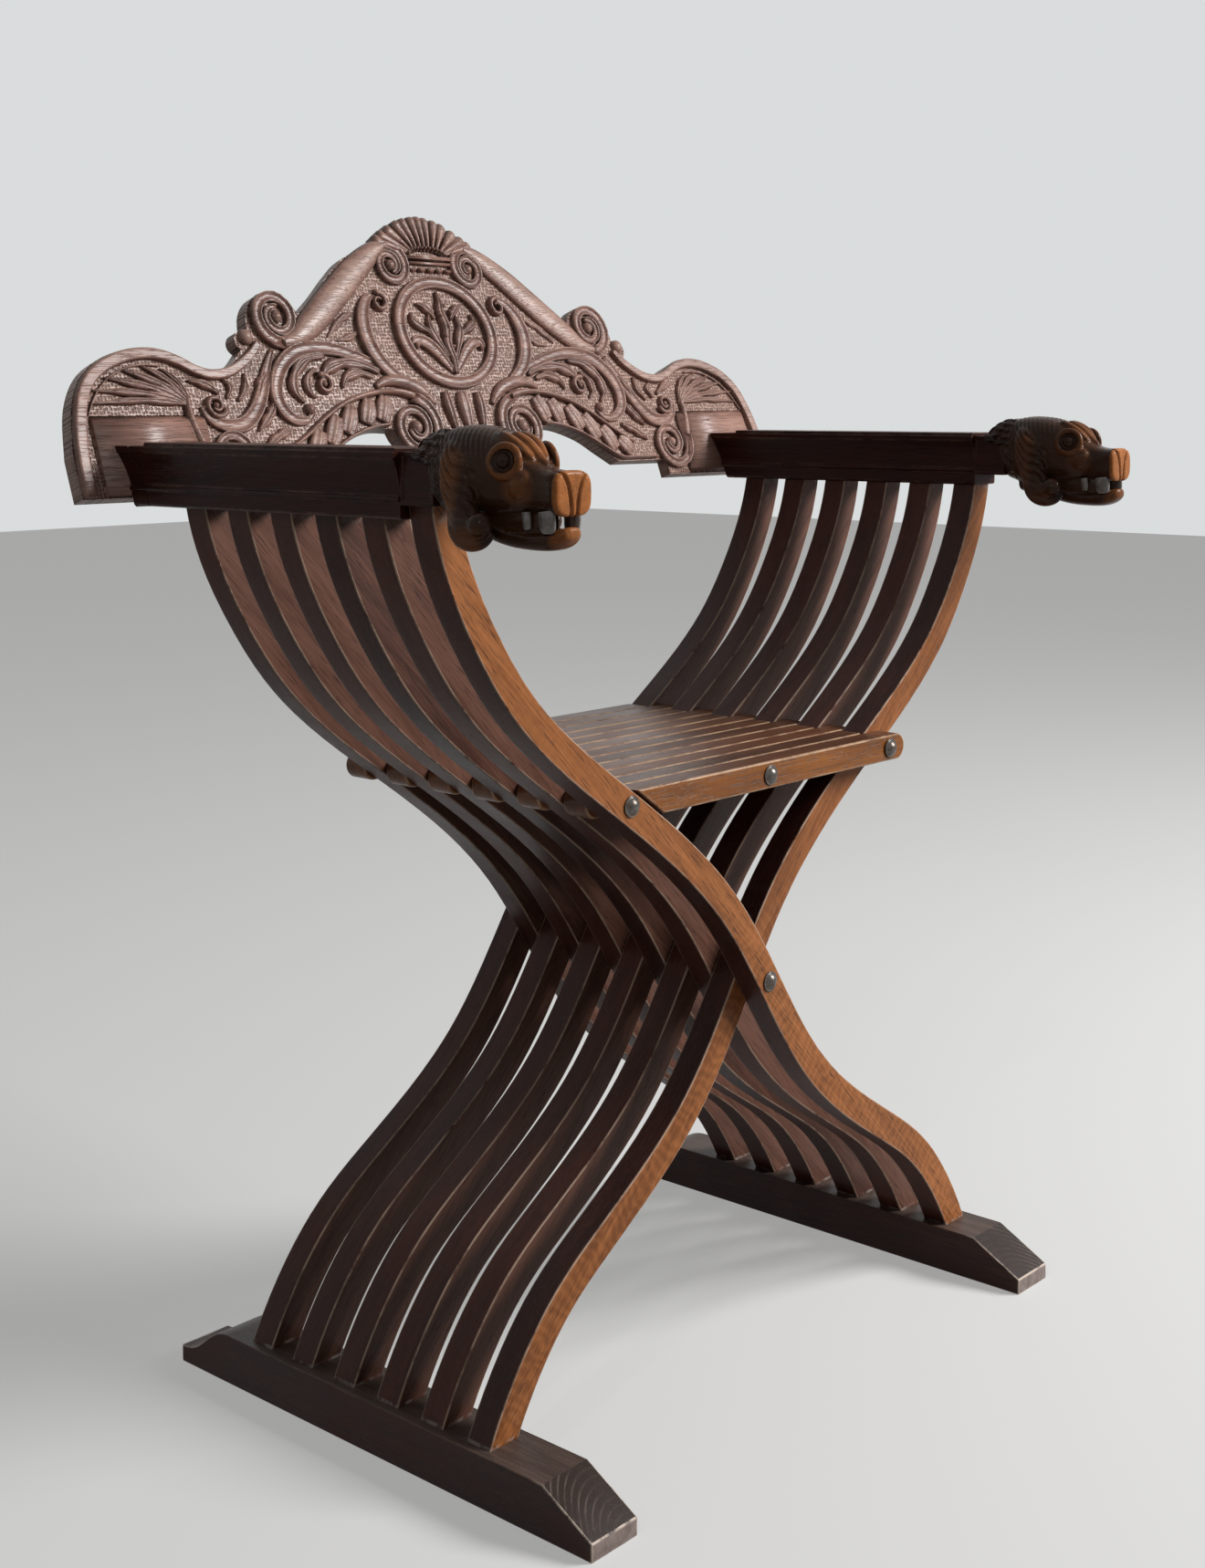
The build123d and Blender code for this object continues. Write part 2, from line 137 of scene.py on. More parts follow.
def ball(centre, sizes, turn=0.0, around=24, rows=16):
    lump = bmesh.new()
    bmesh.ops.create_uvsphere(lump, u_segments=around, v_segments=rows, radius=1)
    bmesh.ops.scale(lump, verts=lump.verts, vec=sizes)
    bmesh.ops.rotate(lump, verts=lump.verts, cent=(0, 0, 0), matrix=Matrix.Rotation(turn, 3, "X"))
    bmesh.ops.translate(lump, verts=lump.verts, vec=centre)
    return lump


def moved_verts(made):
    """The vertices among what an operator made."""
    return [v for v in made["geom"] if isinstance(v, bmesh.types.BMVert)]


def make_piece(name, shell, place, body, material, smooth=True):
    """A finished piece from a bmesh in millimetres."""
    shell.transform(Matrix.Scale(MM, 4) @ place)
    mesh = to_mesh(name, shell)
    for face in mesh.polygons:
        face.use_smooth = smooth
    mesh.materials.append(material)
    piece = placed(name, mesh)
    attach(piece, body)
    return piece


# ---------- node helpers ----------
def worked_out(operation):
    """A method that gives the node for this operation on a Value and on what else it is given."""
    return lambda self, *others: calc(operation, self, *others)


class Value:
    """What a node gives; sums, differences, products and shares of it are further nodes."""
    __add__, __sub__ = worked_out("ADD"), worked_out("SUBTRACT")
    __mul__, __truediv__ = worked_out("MULTIPLY"), worked_out("DIVIDE")
    __abs__, floor, highest = (worked_out(w) for w in ("ABSOLUTE", "FLOOR", "MAXIMUM"))
    above, below = worked_out("GREATER_THAN"), worked_out("LESS_THAN")

    def __init__(self, socket):
        self.socket = socket

    def __getitem__(self, key):
        return Value(self.socket.node.outputs[key])

    def __rsub__(self, other):
        return calc("SUBTRACT", other, self)

    def parts(self):
        """The three parts of a vector."""
        made = put(self.socket.id_data, "ShaderNodeSeparateXYZ", {0: self})
        return made, made[1], made[2]

    def vector(self, operation, other, output="Vector"):
        return put(self.socket.id_data, "ShaderNodeVectorMath", {0: self, 1: other},
                   operation=operation)[output]

    def spread(self, low, high, to_low=0.0, to_high=1.0):
        """From low to high becomes 0 to 1, and no more than that."""
        return put(self.socket.id_data, "ShaderNodeMapRange",
                   {0: self, 1: low, 2: high, 3: to_low, 4: to_high}, clamp=True)

    def noise(self, scale, detail, roughness=0.55):
        return put(self.socket.id_data, "ShaderNodeTexNoise",
                   {"Vector": self, "Scale": scale, "Detail": detail, "Roughness": roughness})

    def mapped(self, turn=(0, 0, 0), scale=(1, 1, 1)):
        return put(self.socket.id_data, "ShaderNodeMapping",
                   {"Vector": self, "Rotation": turn, "Scale": scale})

    def stained(self, share, other):
        """This colour, with a share of the other one over it."""
        return mix(self.socket.id_data, share, self, other)


def put(tree, kind, inputs=None, **settings):
    """A new node; inputs maps a socket's name or number to a value or to a node's Value."""
    made = tree.nodes.new(kind)
    for key, value in settings.items():
        setattr(made, key, value)
    for key, value in (inputs or {}).items():
        if isinstance(value, Value):
            tree.links.new(value.socket, made.inputs[key])
        else:
            made.inputs[key].default_value = value
    return Value(made.outputs[0]) if made.outputs else made


def calc(operation, *values):
    tree = next(v for v in values if isinstance(v, Value)).socket.id_data
    return put(tree, "ShaderNodeMath", dict(enumerate(values)), operation=operation)


def mix(tree, share, first, second):
    colours = [c if isinstance(c, Value) else (*c, 1) for c in (first, second)]
    return put(tree, "ShaderNodeMix", {0: share, 6: colours[0], 7: colours[1]},
               data_type="RGBA", blend_type="MIX")[2]


def place_on_piece(tree):
    return put(tree, "ShaderNodeTexCoord")["Object"]


def attribute(tree, name):
    return put(tree, "ShaderNodeAttribute", attribute_name=name)["Fac"]


def rounded_edge(tree, width, crisp, round_off):
    """1 where a rounded normal parts from the true one, on convex and hollow edges alike."""
    rounded = put(tree, "ShaderNodeBevel", {0: width}, samples=6)
    normal = put(tree, "ShaderNodeNewGeometry")["Normal"]
    return rounded.vector("DOT_PRODUCT", normal, "Value").spread(crisp, round_off)


def occlusion(tree, distance, inside=False):
    return put(tree, "ShaderNodeAmbientOcclusion", {"Distance": distance}, samples=8,
               only_local=True, inside=inside)["AO"]


class Finish:
    """A new material, its tree and its shader."""

    def __init__(self, name):
        self.material = bpy.data.materials.new(name)
        self.material.use_nodes = True
        self.tree = self.material.node_tree
        self.shader = self.tree.nodes["Principled BSDF"]

    def take(self, **sockets):
        """Sets or links sockets of the shader, whose names are written with underscores."""
        for name, value in sockets.items():
            socket = self.shader.inputs[name.replace("_", " ")]
            if isinstance(value, Value):
                self.tree.links.new(value.socket, socket)
            else:
                socket.default_value = value

    def bump(self, height, strength, distance=0.0002):
        self.relief = put(self.tree, "ShaderNodeBump", {
            "Strength": strength, "Distance": distance, "Height": height})
        self.take(Normal=self.relief)


# ---------- finishes ----------
class Walnut(Finish):
    """Waxed walnut: streaks and pores along the grain, patchy wax, edges gone pale with use and
    with a painted highlight along the arrises.

    One colour goes where a piece marks its own mesh: places polished pale by hands, and a painted
    highlight on the eye's lid and the ear's flap. Another goes on faces that look up: a painted
    grey sheen on the foot rails, a darker tone on the seat. Two colours paint shade on faces
    turned sideways, and two paint light on the foremost faces."""

    def __init__(self, name, dark, light, wear_highlight_colour, turn, rough, wear_highlight_share, gloss, slats=False,
                 carved=False, handled=None, topside=None, flanks=None, painted_front_light=None,
                 edge_width=0.0016, edge_patch=(0.42, 0.66), bump=0.45):
        super().__init__(name)
        tree = self.tree
        self.where = place_on_piece(tree)
        if slats:
            layer = (self.where.parts()[1] - FRONT * MM) / (PITCH * MM)
            own = put(tree, "ShaderNodeTexWhiteNoise", {"W": layer.floor()},
                      noise_dimensions="1D")
            self.where = self.where.vector("ADD", own[1])
            plank = own
        else:
            plank = self.where.noise(1.7, 1.0)
        turned = self.where.mapped(turn)
        streak = turned.mapped(scale=(3.0, 42.0, 42.0)).noise(2.2, 6.0, 0.62)
        fine = turned.mapped(scale=(22.0, 620.0, 620.0)).noise(1.0, 3.0, 0.6)
        pores = turned.mapped(scale=(60.0, 1500.0, 1500.0)).noise(1.0, 1.0).spread(0.58, 0.7)
        cloud = self.where.noise(9.0, 3.0)
        # one tone from the streaks, the plank's own shade and slow clouds
        tone = streak.spread(0.37, 0.63) * 0.55 + fine.spread(0.36, 0.64) * 0.45
        tone = tone + (plank - 0.5) * 0.7 + (cloud - 0.5) * 0.5
        tone = put(tree, "ShaderNodeClamp", {0: tone})
        colour = mix(tree, tone, dark, light)
        _, forwards, upwards = put(tree, "ShaderNodeNewGeometry")["True Normal"].parts()
        _, depth, height = place_on_piece(tree).parts()
        # painted light: front faces of the two foremost layers, where the lamp falls, lighter and
        # more orange than the inner faces in their shade, with the grain's figure in them
        if painted_front_light:
            figure = put(tree, "ShaderNodeTexWave",
                         {"Vector": turned, "Scale": 37.0, "Distortion": 9.0, "Detail": 3.0,
                          "Detail Scale": 1.1}, wave_type="BANDS", bands_direction="X")["Fac"]
            figure = (figure - 0.5) * height.spread(0.37, 0.30, 0.08, 0.36)
            lit_foremost = forwards.spread(-0.4, -0.8) * depth.spread(
                (FRONT + 1.95 * PITCH) * MM, (FRONT + 1.93 * PITCH) * MM)
            colour = colour.stained(lit_foremost, mix(tree, tone + figure, *painted_front_light))
        # painted shade: faces turned sideways, away from the lamp, take darker colours
        if flanks:
            colour = colour.stained(abs(forwards).spread(0.75, 0.45), mix(tree, tone, *flanks))
        deep = tuple(0.35 * c for c in dark)
        colour = colour.stained(pores * 0.7, deep)
        # places the piece marks on its own mesh: polished by hands, and partly a painted highlight
        if handled:
            hand_wear_highlight_colour = mix(tree, tone, tuple(0.5 * c for c in handled), handled)
            colour = colour.stained(attribute(tree, "handled"), hand_wear_highlight_colour)
        # faces that look up: a painted grey sheen on the foot rails, a darker tone on the seat
        if topside:
            above = mix(tree, tone, tuple(0.45 * c for c in topside), topside)
            colour = colour.stained(upwards.spread(0.55, 0.9) * 0.8, above)

        # pale edges, from use and as a painted highlight along the arrises
        edge = rounded_edge(tree, edge_width, 0.985, 0.86)
        edge = edge.highest(attribute(tree, "arris") * 0.6)
        wear_highlight_mask = edge * self.where.noise(38.0, 5.0, 0.7).spread(*edge_patch) * wear_highlight_share
        if carved:                       # dirt in the hollows; what stands proud paler with use and as a painted highlight on the ridges
            grime = occlusion(tree, 0.007).spread(0.9, 0.35)
            colour = colour.stained(grime * 0.85, deep)
            crest = occlusion(tree, 0.006, inside=True).spread(0.55, 0.92)
            wear_highlight_mask = wear_highlight_mask.highest(crest * (0.35 * wear_highlight_share))
        colour = colour.stained(wear_highlight_mask, wear_highlight_colour)
        if flanks:                       # old glue where the slats enter feet and arm rails
            under_arm = (height.spread(ARM_Z * MM - 0.006, ARM_Z * MM - 0.001, 0.0, 0.7)
                         * abs(forwards).spread(0.6, 0.9))
            seam = height.spread(FOOT_TOP + 0.0022, FOOT_TOP + 0.0012).highest(under_arm)
            smear = self.where.noise(120.0, 3.0).spread(0.42, 0.6)
            colour = colour.stained(seam * smear * 0.7, (0.36, 0.3, 0.27))
        self.colour, self.gouges = colour, fine * 0.6 - pores * 0.8 + cloud * 0.8
        self.take(Base_Color=colour, Specular_IOR_Level=gloss,
                  Roughness=cloud.spread(0.3, 0.7) * 0.14 + rough + fine * 0.1)
        self.bump(self.gouges, bump, 0.0004)


def board_walnut():
    """The backboard's walnut; its sunk ground is punched with rows of small dots."""
    walnut = Walnut("board_walnut", (0.125, 0.056, 0.041), (0.345, 0.184, 0.14),
                    (0.56, 0.38, 0.305), ALONG_X, 0.25, 0.95, 0.33, carved=True, bump=0.75)
    tree = walnut.tree

    def along(direction):
        return walnut.where.vector("DOT_PRODUCT", direction, "Value")

    face = (-ARM_REAR * cos(RAKE) + ARM_Z * sin(RAKE)) * MM
    sunk = (along((0, -cos(RAKE), sin(RAKE))) - face).spread(-0.0027, -0.0036)
    flat = put(tree, "ShaderNodeCombineXYZ", {0: along((1, 0, 0)),
                                              1: along((0, sin(RAKE), cos(RAKE)))})
    dots = put(tree, "ShaderNodeTexVoronoi", {"Vector": flat, "Scale": 340.0,
                                              "Randomness": 0.45}, voronoi_dimensions="2D")
    pit = dots["Distance"].spread(0.14, 0.46)
    punched = walnut.gouges + pit * sunk * 2.6
    tree.links.new(punched.socket, walnut.relief.socket.node.inputs["Height"])
    walnut.take(Base_Color=walnut.colour.stained((1.0 - pit) * (sunk * 0.6),
                                                 (0.028, 0.011, 0.007)))
    return walnut.material


def foot_walnut():
    """Foot rails: nearly black sides, a painted grey sheen on the tops, thin arcs of end grain and
    pale bare edges at the toe.
    """
    walnut = Walnut("foot_walnut", (0.02, 0.006, 0.0045), (0.06, 0.02, 0.013), (0.3, 0.18, 0.12),
                    # the tops' colour is a painted grey sheen
                    ALONG_Y, 0.28, 0.35, 0.2, topside=(0.12, 0.082, 0.066))
    tree, where = walnut.tree, walnut.where
    x, y, z = where.parts()
    heart = put(tree, "ShaderNodeCombineXYZ", {0: abs(x) - 0.245, 1: y, 2: z + 0.022})
    rings = put(tree, "ShaderNodeTexWave",
                {"Vector": heart, "Scale": 105.0, "Distortion": 1.2, "Detail": 2.0,
                 "Detail Scale": 0.4}, wave_type="RINGS", rings_direction="Y")["Fac"]
    facing = abs(put(tree, "ShaderNodeNewGeometry")["True Normal"].parts()[1])
    inner, outer = sorted(abs(corner.x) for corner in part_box("foot_right"))
    faint = (abs(x).spread(0.7 * inner + 0.3 * outer, outer, 0.12, 0.8)
             * where.noise(45.0, 3.0).spread(0.36, 0.6))
    slope = mix(tree, rings.spread(0.75, 0.98) * faint, (0.036, 0.027, 0.024),
                (0.24, 0.185, 0.155))
    scuffed = mix(tree, where.noise(140.0, 4.0).spread(0.35, 0.7), (0.2, 0.15, 0.13),
                  (0.34, 0.27, 0.245))
    ragged = where.noise(90.0, 5.0, 0.7).spread(0.34, 0.5)
    bare = attribute(tree, "arris") * (abs(y).spread(0.16, 0.185) * ragged)
    colour = walnut.colour.stained(facing.spread(0.3, 0.5) * 0.92, slope)
    colour = colour.stained(facing.spread(0.93, 0.98), scuffed)
    walnut.take(Base_Color=colour.stained(bare, (0.62, 0.5, 0.42)))
    return walnut.material


def old_iron():
    """Dark iron with a brown bloom and bright rubbed rims."""
    finish = Finish("old_iron")
    cloud = place_on_piece(finish.tree).noise(260.0, 5.0, 0.65)
    bloom = mix(finish.tree, cloud.spread(0.46, 0.68), (0.125, 0.112, 0.102),
                (0.08, 0.052, 0.036))
    rim = rounded_edge(finish.tree, 0.0008, 0.98, 0.8)
    finish.take(Base_Color=bloom.stained(rim * 0.6, (0.45, 0.4, 0.36)), Metallic=0.85,
                Roughness=cloud.spread(0.3, 0.7, 0.16, 0.42))
    finish.bump(cloud, 0.4)
    return finish.material


def tooth_paint():
    """Greyish white of the teeth, mottled with darker grey."""
    finish = Finish("tooth_paint")
    cloud = place_on_piece(finish.tree).noise(180.0, 4.0, 0.6)
    finish.take(Base_Color=mix(finish.tree, cloud.spread(0.35, 0.68), (0.27, 0.245, 0.23),
                               (0.1, 0.08, 0.07)), Roughness=0.3)
    finish.bump(cloud, 0.3)
    return finish.material


GRAIN_A, GRAIN_B = (0, radians(-46), 0), (0, radians(46), 0)
ALONG_X, ALONG_Y = (0, 0, 0), (0, 0, radians(90))


def slat_walnut(name, turn):
    return Walnut(name, (0.062, 0.026, 0.018), (0.165, 0.074, 0.05), (0.62, 0.45, 0.34), turn,
                  0.27, 1.0, 0.15, slats=True, edge_width=0.0023, edge_patch=(0.33, 0.52),
                  # the two colours of the sideways faces are painted shade
                  flanks=((0.03, 0.0085, 0.006), (0.085, 0.026, 0.017)),
                  # the two colours of the foremost faces are painted light
                  painted_front_light=((0.2, 0.066, 0.019), (0.42, 0.154, 0.05))).material


slat_a = slat_walnut("slat_walnut_a", GRAIN_A)
slat_b = slat_walnut("slat_walnut_b", GRAIN_B)
seat_walnut = Walnut("seat_walnut", (0.1, 0.036, 0.015), (0.27, 0.105, 0.04), (0.62, 0.4, 0.24),
                     ALONG_X, 0.2, 1.0, 0.25, slats=True, topside=(0.115, 0.042, 0.022),
                     # the two colours of the foremost faces paint light on the seat's lit front
                     # edge
                     painted_front_light=((0.13, 0.038, 0.004), (0.28, 0.091, 0.012)),
                     edge_width=0.0026, edge_patch=(0.36, 0.56)).material
rail_walnut = Walnut("rail_walnut", (0.018, 0.0044, 0.0032), (0.054, 0.0145, 0.0095),
                     (0.26, 0.15, 0.11), ALONG_Y, 0.2, 0.6, 0.1).material
head_walnut = Walnut("head_walnut", (0.0075, 0.0025, 0.0018), (0.04, 0.0125, 0.0065),
                     (0.3, 0.125, 0.055), ALONG_Y, 0.08, 0.38, 0.1, carved=True,
                     handled=(0.48, 0.165, 0.045)).material
foot_finish = foot_walnut()
board_finish = board_walnut()
iron = old_iron()


# ---------- the CAD pieces ----------
SHARP_ANGLE = radians(50)
ARRIS_FACE, ARRIS_BEND = 0.00125, radians(14)      # an arris is narrower and bends more


def soft_normals():
    """Node group: faces shaded smooth, sharp edges kept crisp, the narrow arrises marked."""
    group = bpy.data.node_groups.new("soft_normals", "GeometryNodeTree")
    for way in ("INPUT", "OUTPUT"):
        group.interface.new_socket("Geometry", in_out=way, socket_type="NodeSocketGeometry")
    start, end = put(group, "NodeGroupInput"), put(group, "NodeGroupOutput")
    angle = put(group, "GeometryNodeInputMeshEdgeAngle")
    faces = put(group, "GeometryNodeSetShadeSmooth", {"Geometry": start, "Shade Smooth": True},
                domain="FACE")
    edges = put(group, "GeometryNodeSetShadeSmooth",
                {"Geometry": faces, "Selection": angle.above(SHARP_ANGLE),
                 "Shade Smooth": False}, domain="EDGE")
    ends = put(group, "GeometryNodeInputMeshEdgeVertices")
    length = ends["Position 1"].vector("DISTANCE", ends["Position 2"], "Value")
    mean, bend = (put(group, "GeometryNodeFieldOnDomain", {0: field}, domain="EDGE",
                      data_type="FLOAT") for field in (length, angle))
    width = put(group, "GeometryNodeInputMeshFaceArea") / (mean * 2.0)
    narrow = width.below(ARRIS_FACE) * bend.above(ARRIS_BEND)
    marked = put(group, "GeometryNodeStoreNamedAttribute", {"Geometry": edges, "Name": "arris"},
                 data_type="FLOAT", domain="FACE")
    wanted = next(s for s in marked.socket.node.inputs if s.name == "Value" and s.enabled)
    group.links.new(narrow.socket, wanted)
    group.links.new(marked.socket, end.inputs[0])
    return group


soften = soft_normals()


def dress(node, material, arris):
    """Material and edges broken by arris mm for a piece that keeps its CAD shape."""
    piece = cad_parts[node]
    piece.data.materials.clear()
    piece.data.materials.append(material)
    piece.modifiers.new("weld", "WELD").merge_threshold = 1e-5
    plain = piece.modifiers.new("plain_faces", "DECIMATE")
    plain.decimate_type = "DISSOLVE"
    plain.angle_limit = radians(0.4)
    bevel = piece.modifiers.new("arris", "BEVEL")
    bevel.width = arris * MM
    bevel.segments = 2
    bevel.limit_method = "ANGLE"
    bevel.angle_limit = radians(38)
    bevel.use_clamp_overlap = False
    bevel.miter_outer = "MITER_ARC"
    piece.modifiers.new("normals", "NODES").node_group = soften
    piece.modifiers.new("weighted", "WEIGHTED_NORMAL").keep_sharp = True


for i in range(1, 7):
    for node, material, arris in (("leg_a", slat_a, 0.9), ("leg_b", slat_b, 0.9),
                                  ("seat_r", seat_walnut, 1.5), ("seat_l", seat_walnut, 1.5)):
        dress(f"{node}{i}", material, arris)
for side in ("left", "right"):
    dress(f"arm_{side}", rail_walnut, 0.7)
    dress(f"foot_{side}", foot_finish, 1.0)
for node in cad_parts:
    if node.startswith(("rod_", "nut_")):
        dress(node, iron, 0.25)


# ---------- carved backboard ----------
def spots(*shares):
    """Points of the board, given in hundredths of its half width and of its height."""
    return [(x / 100 * BOARD_END, z / 100 * BOARD_TOP) for x, z in shares]


def half_outline():
    """The board's right-hand edge from the crest round to the middle of its lower edge."""
    crest, volute, scroll, bead, rise, foot = spots((14.0, 88.4), (39.9, 61.8), (53.6, 58.9),
                                                    (54.1, 54.8), (76.7, 48.6), (62.2, 8.7))
    dip, low, heel = spots((56.5, 49.1), (45.3, 8.7), (10.6, 19.4))
    arch = spots((21.8, 22.3))[0]
    end_top = (BOARD_END, 0.16 * BOARD_TOP)
    edge = arc((0, BOARD_TOP - 3), *spots((8.0, 95.6)), crest)[:-1]
    edge += flow([crest, *spots((23.1, 82.9), (28.8, 76.3), (33.9, 69.2)), volute])[:-1]
    edge += arc(volute, *spots((47.7, 68.4)), scroll, 16)
    edge += arc(bead, *spots((57.3, 53.6)), dip)[:-1]
    edge += flow([dip, *spots((60.6, 43.7), (66.1, 42.5), (72.0, 45.8)), rise])[:-1]
    edge += flow([rise, *spots((85.5, 47.8), (93.3, 42.0), (97.9, 31.3)), end_top])
    edge += [(BOARD_END, BOARD_FOOT), (foot[0], BOARD_FOOT), foot]
    edge += flow([low, *spots((40.7, 13.2), (35.2, 18.5), (27.7, 22.3)), arch])[:-1]
    edge += arc(arch, *spots((15.8, 14.4)), heel)[:-1]
    edge += arc(heel, *spots((6.2, 21.0), (0, 15.7)))
    return edge


def slab():
    """The plank cut to its outline, from the sunk ground backwards, its back edge rounded."""
    right = half_outline()
    left = [(-x, z) for x, z in reversed(right[1:-1])]
    plank = bmesh.new()
    front = plank.faces.new([plank.verts.new((x, z, GROUND)) for x, z in right + left])
    drawn = bmesh.ops.extrude_face_region(plank, geom=[front])
    bmesh.ops.translate(plank, verts=moved_verts(drawn), vec=(0, 0, -GROUND - BOARD_T))
    bmesh.ops.recalc_face_normals(plank, faces=plank.faces)
    rim = [e for e in plank.edges if all(v.co.z < GROUND - 1 for v in e.verts)]
    bmesh.ops.bevel(plank, geom=rim, offset=1.6, segments=2, profile=0.5, affect="EDGES",
                    material=-1, clamp_overlap=True)
    bmesh.ops.triangulate(plank, faces=[f for f in plank.faces if len(f.verts) > 4])
    return plank


def dome(t):
    return max(0.0, 1 - t * t) ** 0.5


def flat_band(t):
    return min(1.0, 4.5 * (1 - abs(t))) ** 0.6 if abs(t) < 1 else 0.0


def channel(t):
    """Concave between two raised edges."""
    if abs(t) > 0.8:
        return (1 - (abs(t) - 0.8) / 0.2) ** 0.4
    return 0.55 + 0.45 * (abs(t) / 0.8) ** 3


def cyma(t):
    """Broad roll between two fine fillets."""
    if abs(t) > 0.9:
        return 0.8 * ((1 - abs(t)) / 0.1) ** 0.4
    if abs(t) > 0.8:
        return 0.62
    return 0.6 + 0.4 * (1 - (t / 0.8) ** 2)


def leaf_blade(t):
    """Two rounded halves falling to a cut midrib."""
    return max(0.0, (1 - abs(t) ** 2.2)) ** 0.6 * (0.62 + 0.38 * min(1, 3.2 * abs(t)))


def gouged(t):
    """Three flutes side by side."""
    return dome(t) ** 0.7 * (0.72 + 0.28 * abs(sin(1.5 * pi * (t + 1))))


ACROSS, UNDER = 12, 4


def across_band(station, ahead, behind, section, sink):
    """One ring of a band: its section on top, and an underside sunk below the ground."""
    x, z, half, rise = station
    along = Vector((ahead[0] - behind[0], ahead[1] - behind[1])).normalized()
    places = [(t, GROUND - 0.2 + (rise + 0.2) * section(t))
              for t in (-1 + 2 * k / ACROSS for k in range(ACROSS + 1))]
    places += [(1 - 2 * k / UNDER, GROUND - sink) for k in range(1, UNDER)]
    return [Vector((x - along.y * t * half, z + along.x * t * half, up)) for t, up in places]


def band(stations, section, sink=1.5):
    """A raised band on the board; each station holds x, up, half width and rise."""
    last = len(stations) - 1
    return skin([across_band(station, stations[min(i + 1, last)], stations[max(i - 1, 0)],
                             section, sink) for i, station in enumerate(stations)])


def curl(centre, outer, inner, start, turns, half, tip, rise, tighten=1.15, steps=18):
    """Stations of a spiral winding in from the start angle in degrees, its turns anticlockwise."""
    count = int(steps * abs(turns))
    line = []
    for k in range(count + 1):
        share = k / count
        angle = radians(start) + 2 * pi * turns * share
        r = inner + (outer - inner) * (1 - share) ** tighten
        line.append((centre[0] + r * cos(angle), centre[1] + r * sin(angle),
                     half + (tip - half) * share, rise * (1 - 0.12 * share)))
    return line


def boss(centre, radius, rise):
    """A flattened round eye."""
    return ball((*centre, GROUND), (radius, radius, rise), around=16, rows=10)


def pairs(section, *lines):
    """Bands of one section on the right half of the board, and the same on the left."""
    return [band([(side * s[0], *s[1:]) for s in line], section)
            for side in (1, -1) for line in lines]


def boss_pair(x, z, radius, rise):
    return [boss((side * x, z), radius, rise) for side in (1, -1)]


def tapered(points, half, rise, tip=0.25):
    """Stations through the points, narrow at both ends."""
    line, last = [], len(points) - 1
    for i, (x, z) in enumerate(points):
        share = sin(pi * min(1, max(0, (i + 0.25) / (last + 0.5)))) ** 0.7
        line.append((x, z, half * max(tip, share), rise * max(0.5, share)))
    return flow(line, 5)


def leaf(points, half, rise, lobes):
    """A carved leaf along the points with a lobed edge."""
    line = flow([(x, z) for x, z in points], 8)
    last = len(line) - 1
    stations = []
    for i, (x, z) in enumerate(line):
        share = i / last
        width = sin(pi * min(1, 0.12 + 0.88 * share) ** 1.15) ** 0.8
        notch = 1 - 0.32 * abs(sin(pi * lobes * share)) ** 3
        stations.append((x, z, max(0.25, half * width * notch), rise * (0.55 + 0.45 * width)))
    return stations


# -- shoulder bands and volutes --
def shoulder_bands():
    """Broad rolls down both shoulders, with a volute at either end."""
    roll = flow([
        (44, 214, 5, 4.6), (56, 208.5, 8, 5), (70, 199.5, 10.5, 5.2), (89, 186, 12.2, 5.4),
        (110, 169, 12.8, 5.4), (130, 153, 12.6, 5.4), (150, 138, 11, 5.2), (164, 129, 8, 5),
        (178, 125, 5.2, 4.8)])
    big = curl((178.5, 146), 22, 7.5, -92, 1.55, 5.2, 2.8, 5.6)
    top = curl((44.5, 195.5), 18.5, 6.5, 78, 1.5, 4.6, 2.6, 5.4)
    shells = pairs(cyma, roll)
    shells += pairs(channel, big, top)
    shells += boss_pair(178.5, 146, 5.6, 6) + boss_pair(44.5, 195.5, 5, 5.8)
    shells += boss_pair(212, 129, 6.5, 5.4)
    return shells


def wing_rims():
    """Flat raised rim of the wings, from the bead down to the foot of the board."""
    rim = flow([
        (203, 124, 3, 4.4), (213, 114, 4, 4.4), (228, 104.5, 4.2, 4.4), (241, 99.5, 4.3, 4.4),
        (255, 98.5, 4.3, 4.4), (268, 102, 4.3, 4.4), (281, 108.5, 4.4, 4.4),
        (296, 113.2, 4.6, 4.4), (312, 114, 4.8, 4.4), (330, 110.8, 5, 4.4), (351, 101.5, 5.2, 4.4),
        (367, 85.5, 5.3, 4.4), (376.3, 60, 5.4, 4.4), (380, 34, 5.4, 4.4), (380.4, 7.6, 5.4, 4.4)])
    line = flow([(298, 105, 0.9, 2.2), (314, 105.5, 0.9, 2.2), (330, 102, 0.9, 2.2),
                 (345, 94.5, 0.9, 2.2), (358, 82, 0.9, 2.2), (367, 68, 0.9, 2.2)])
    return pairs(flat_band, rim) + pairs(dome, line)


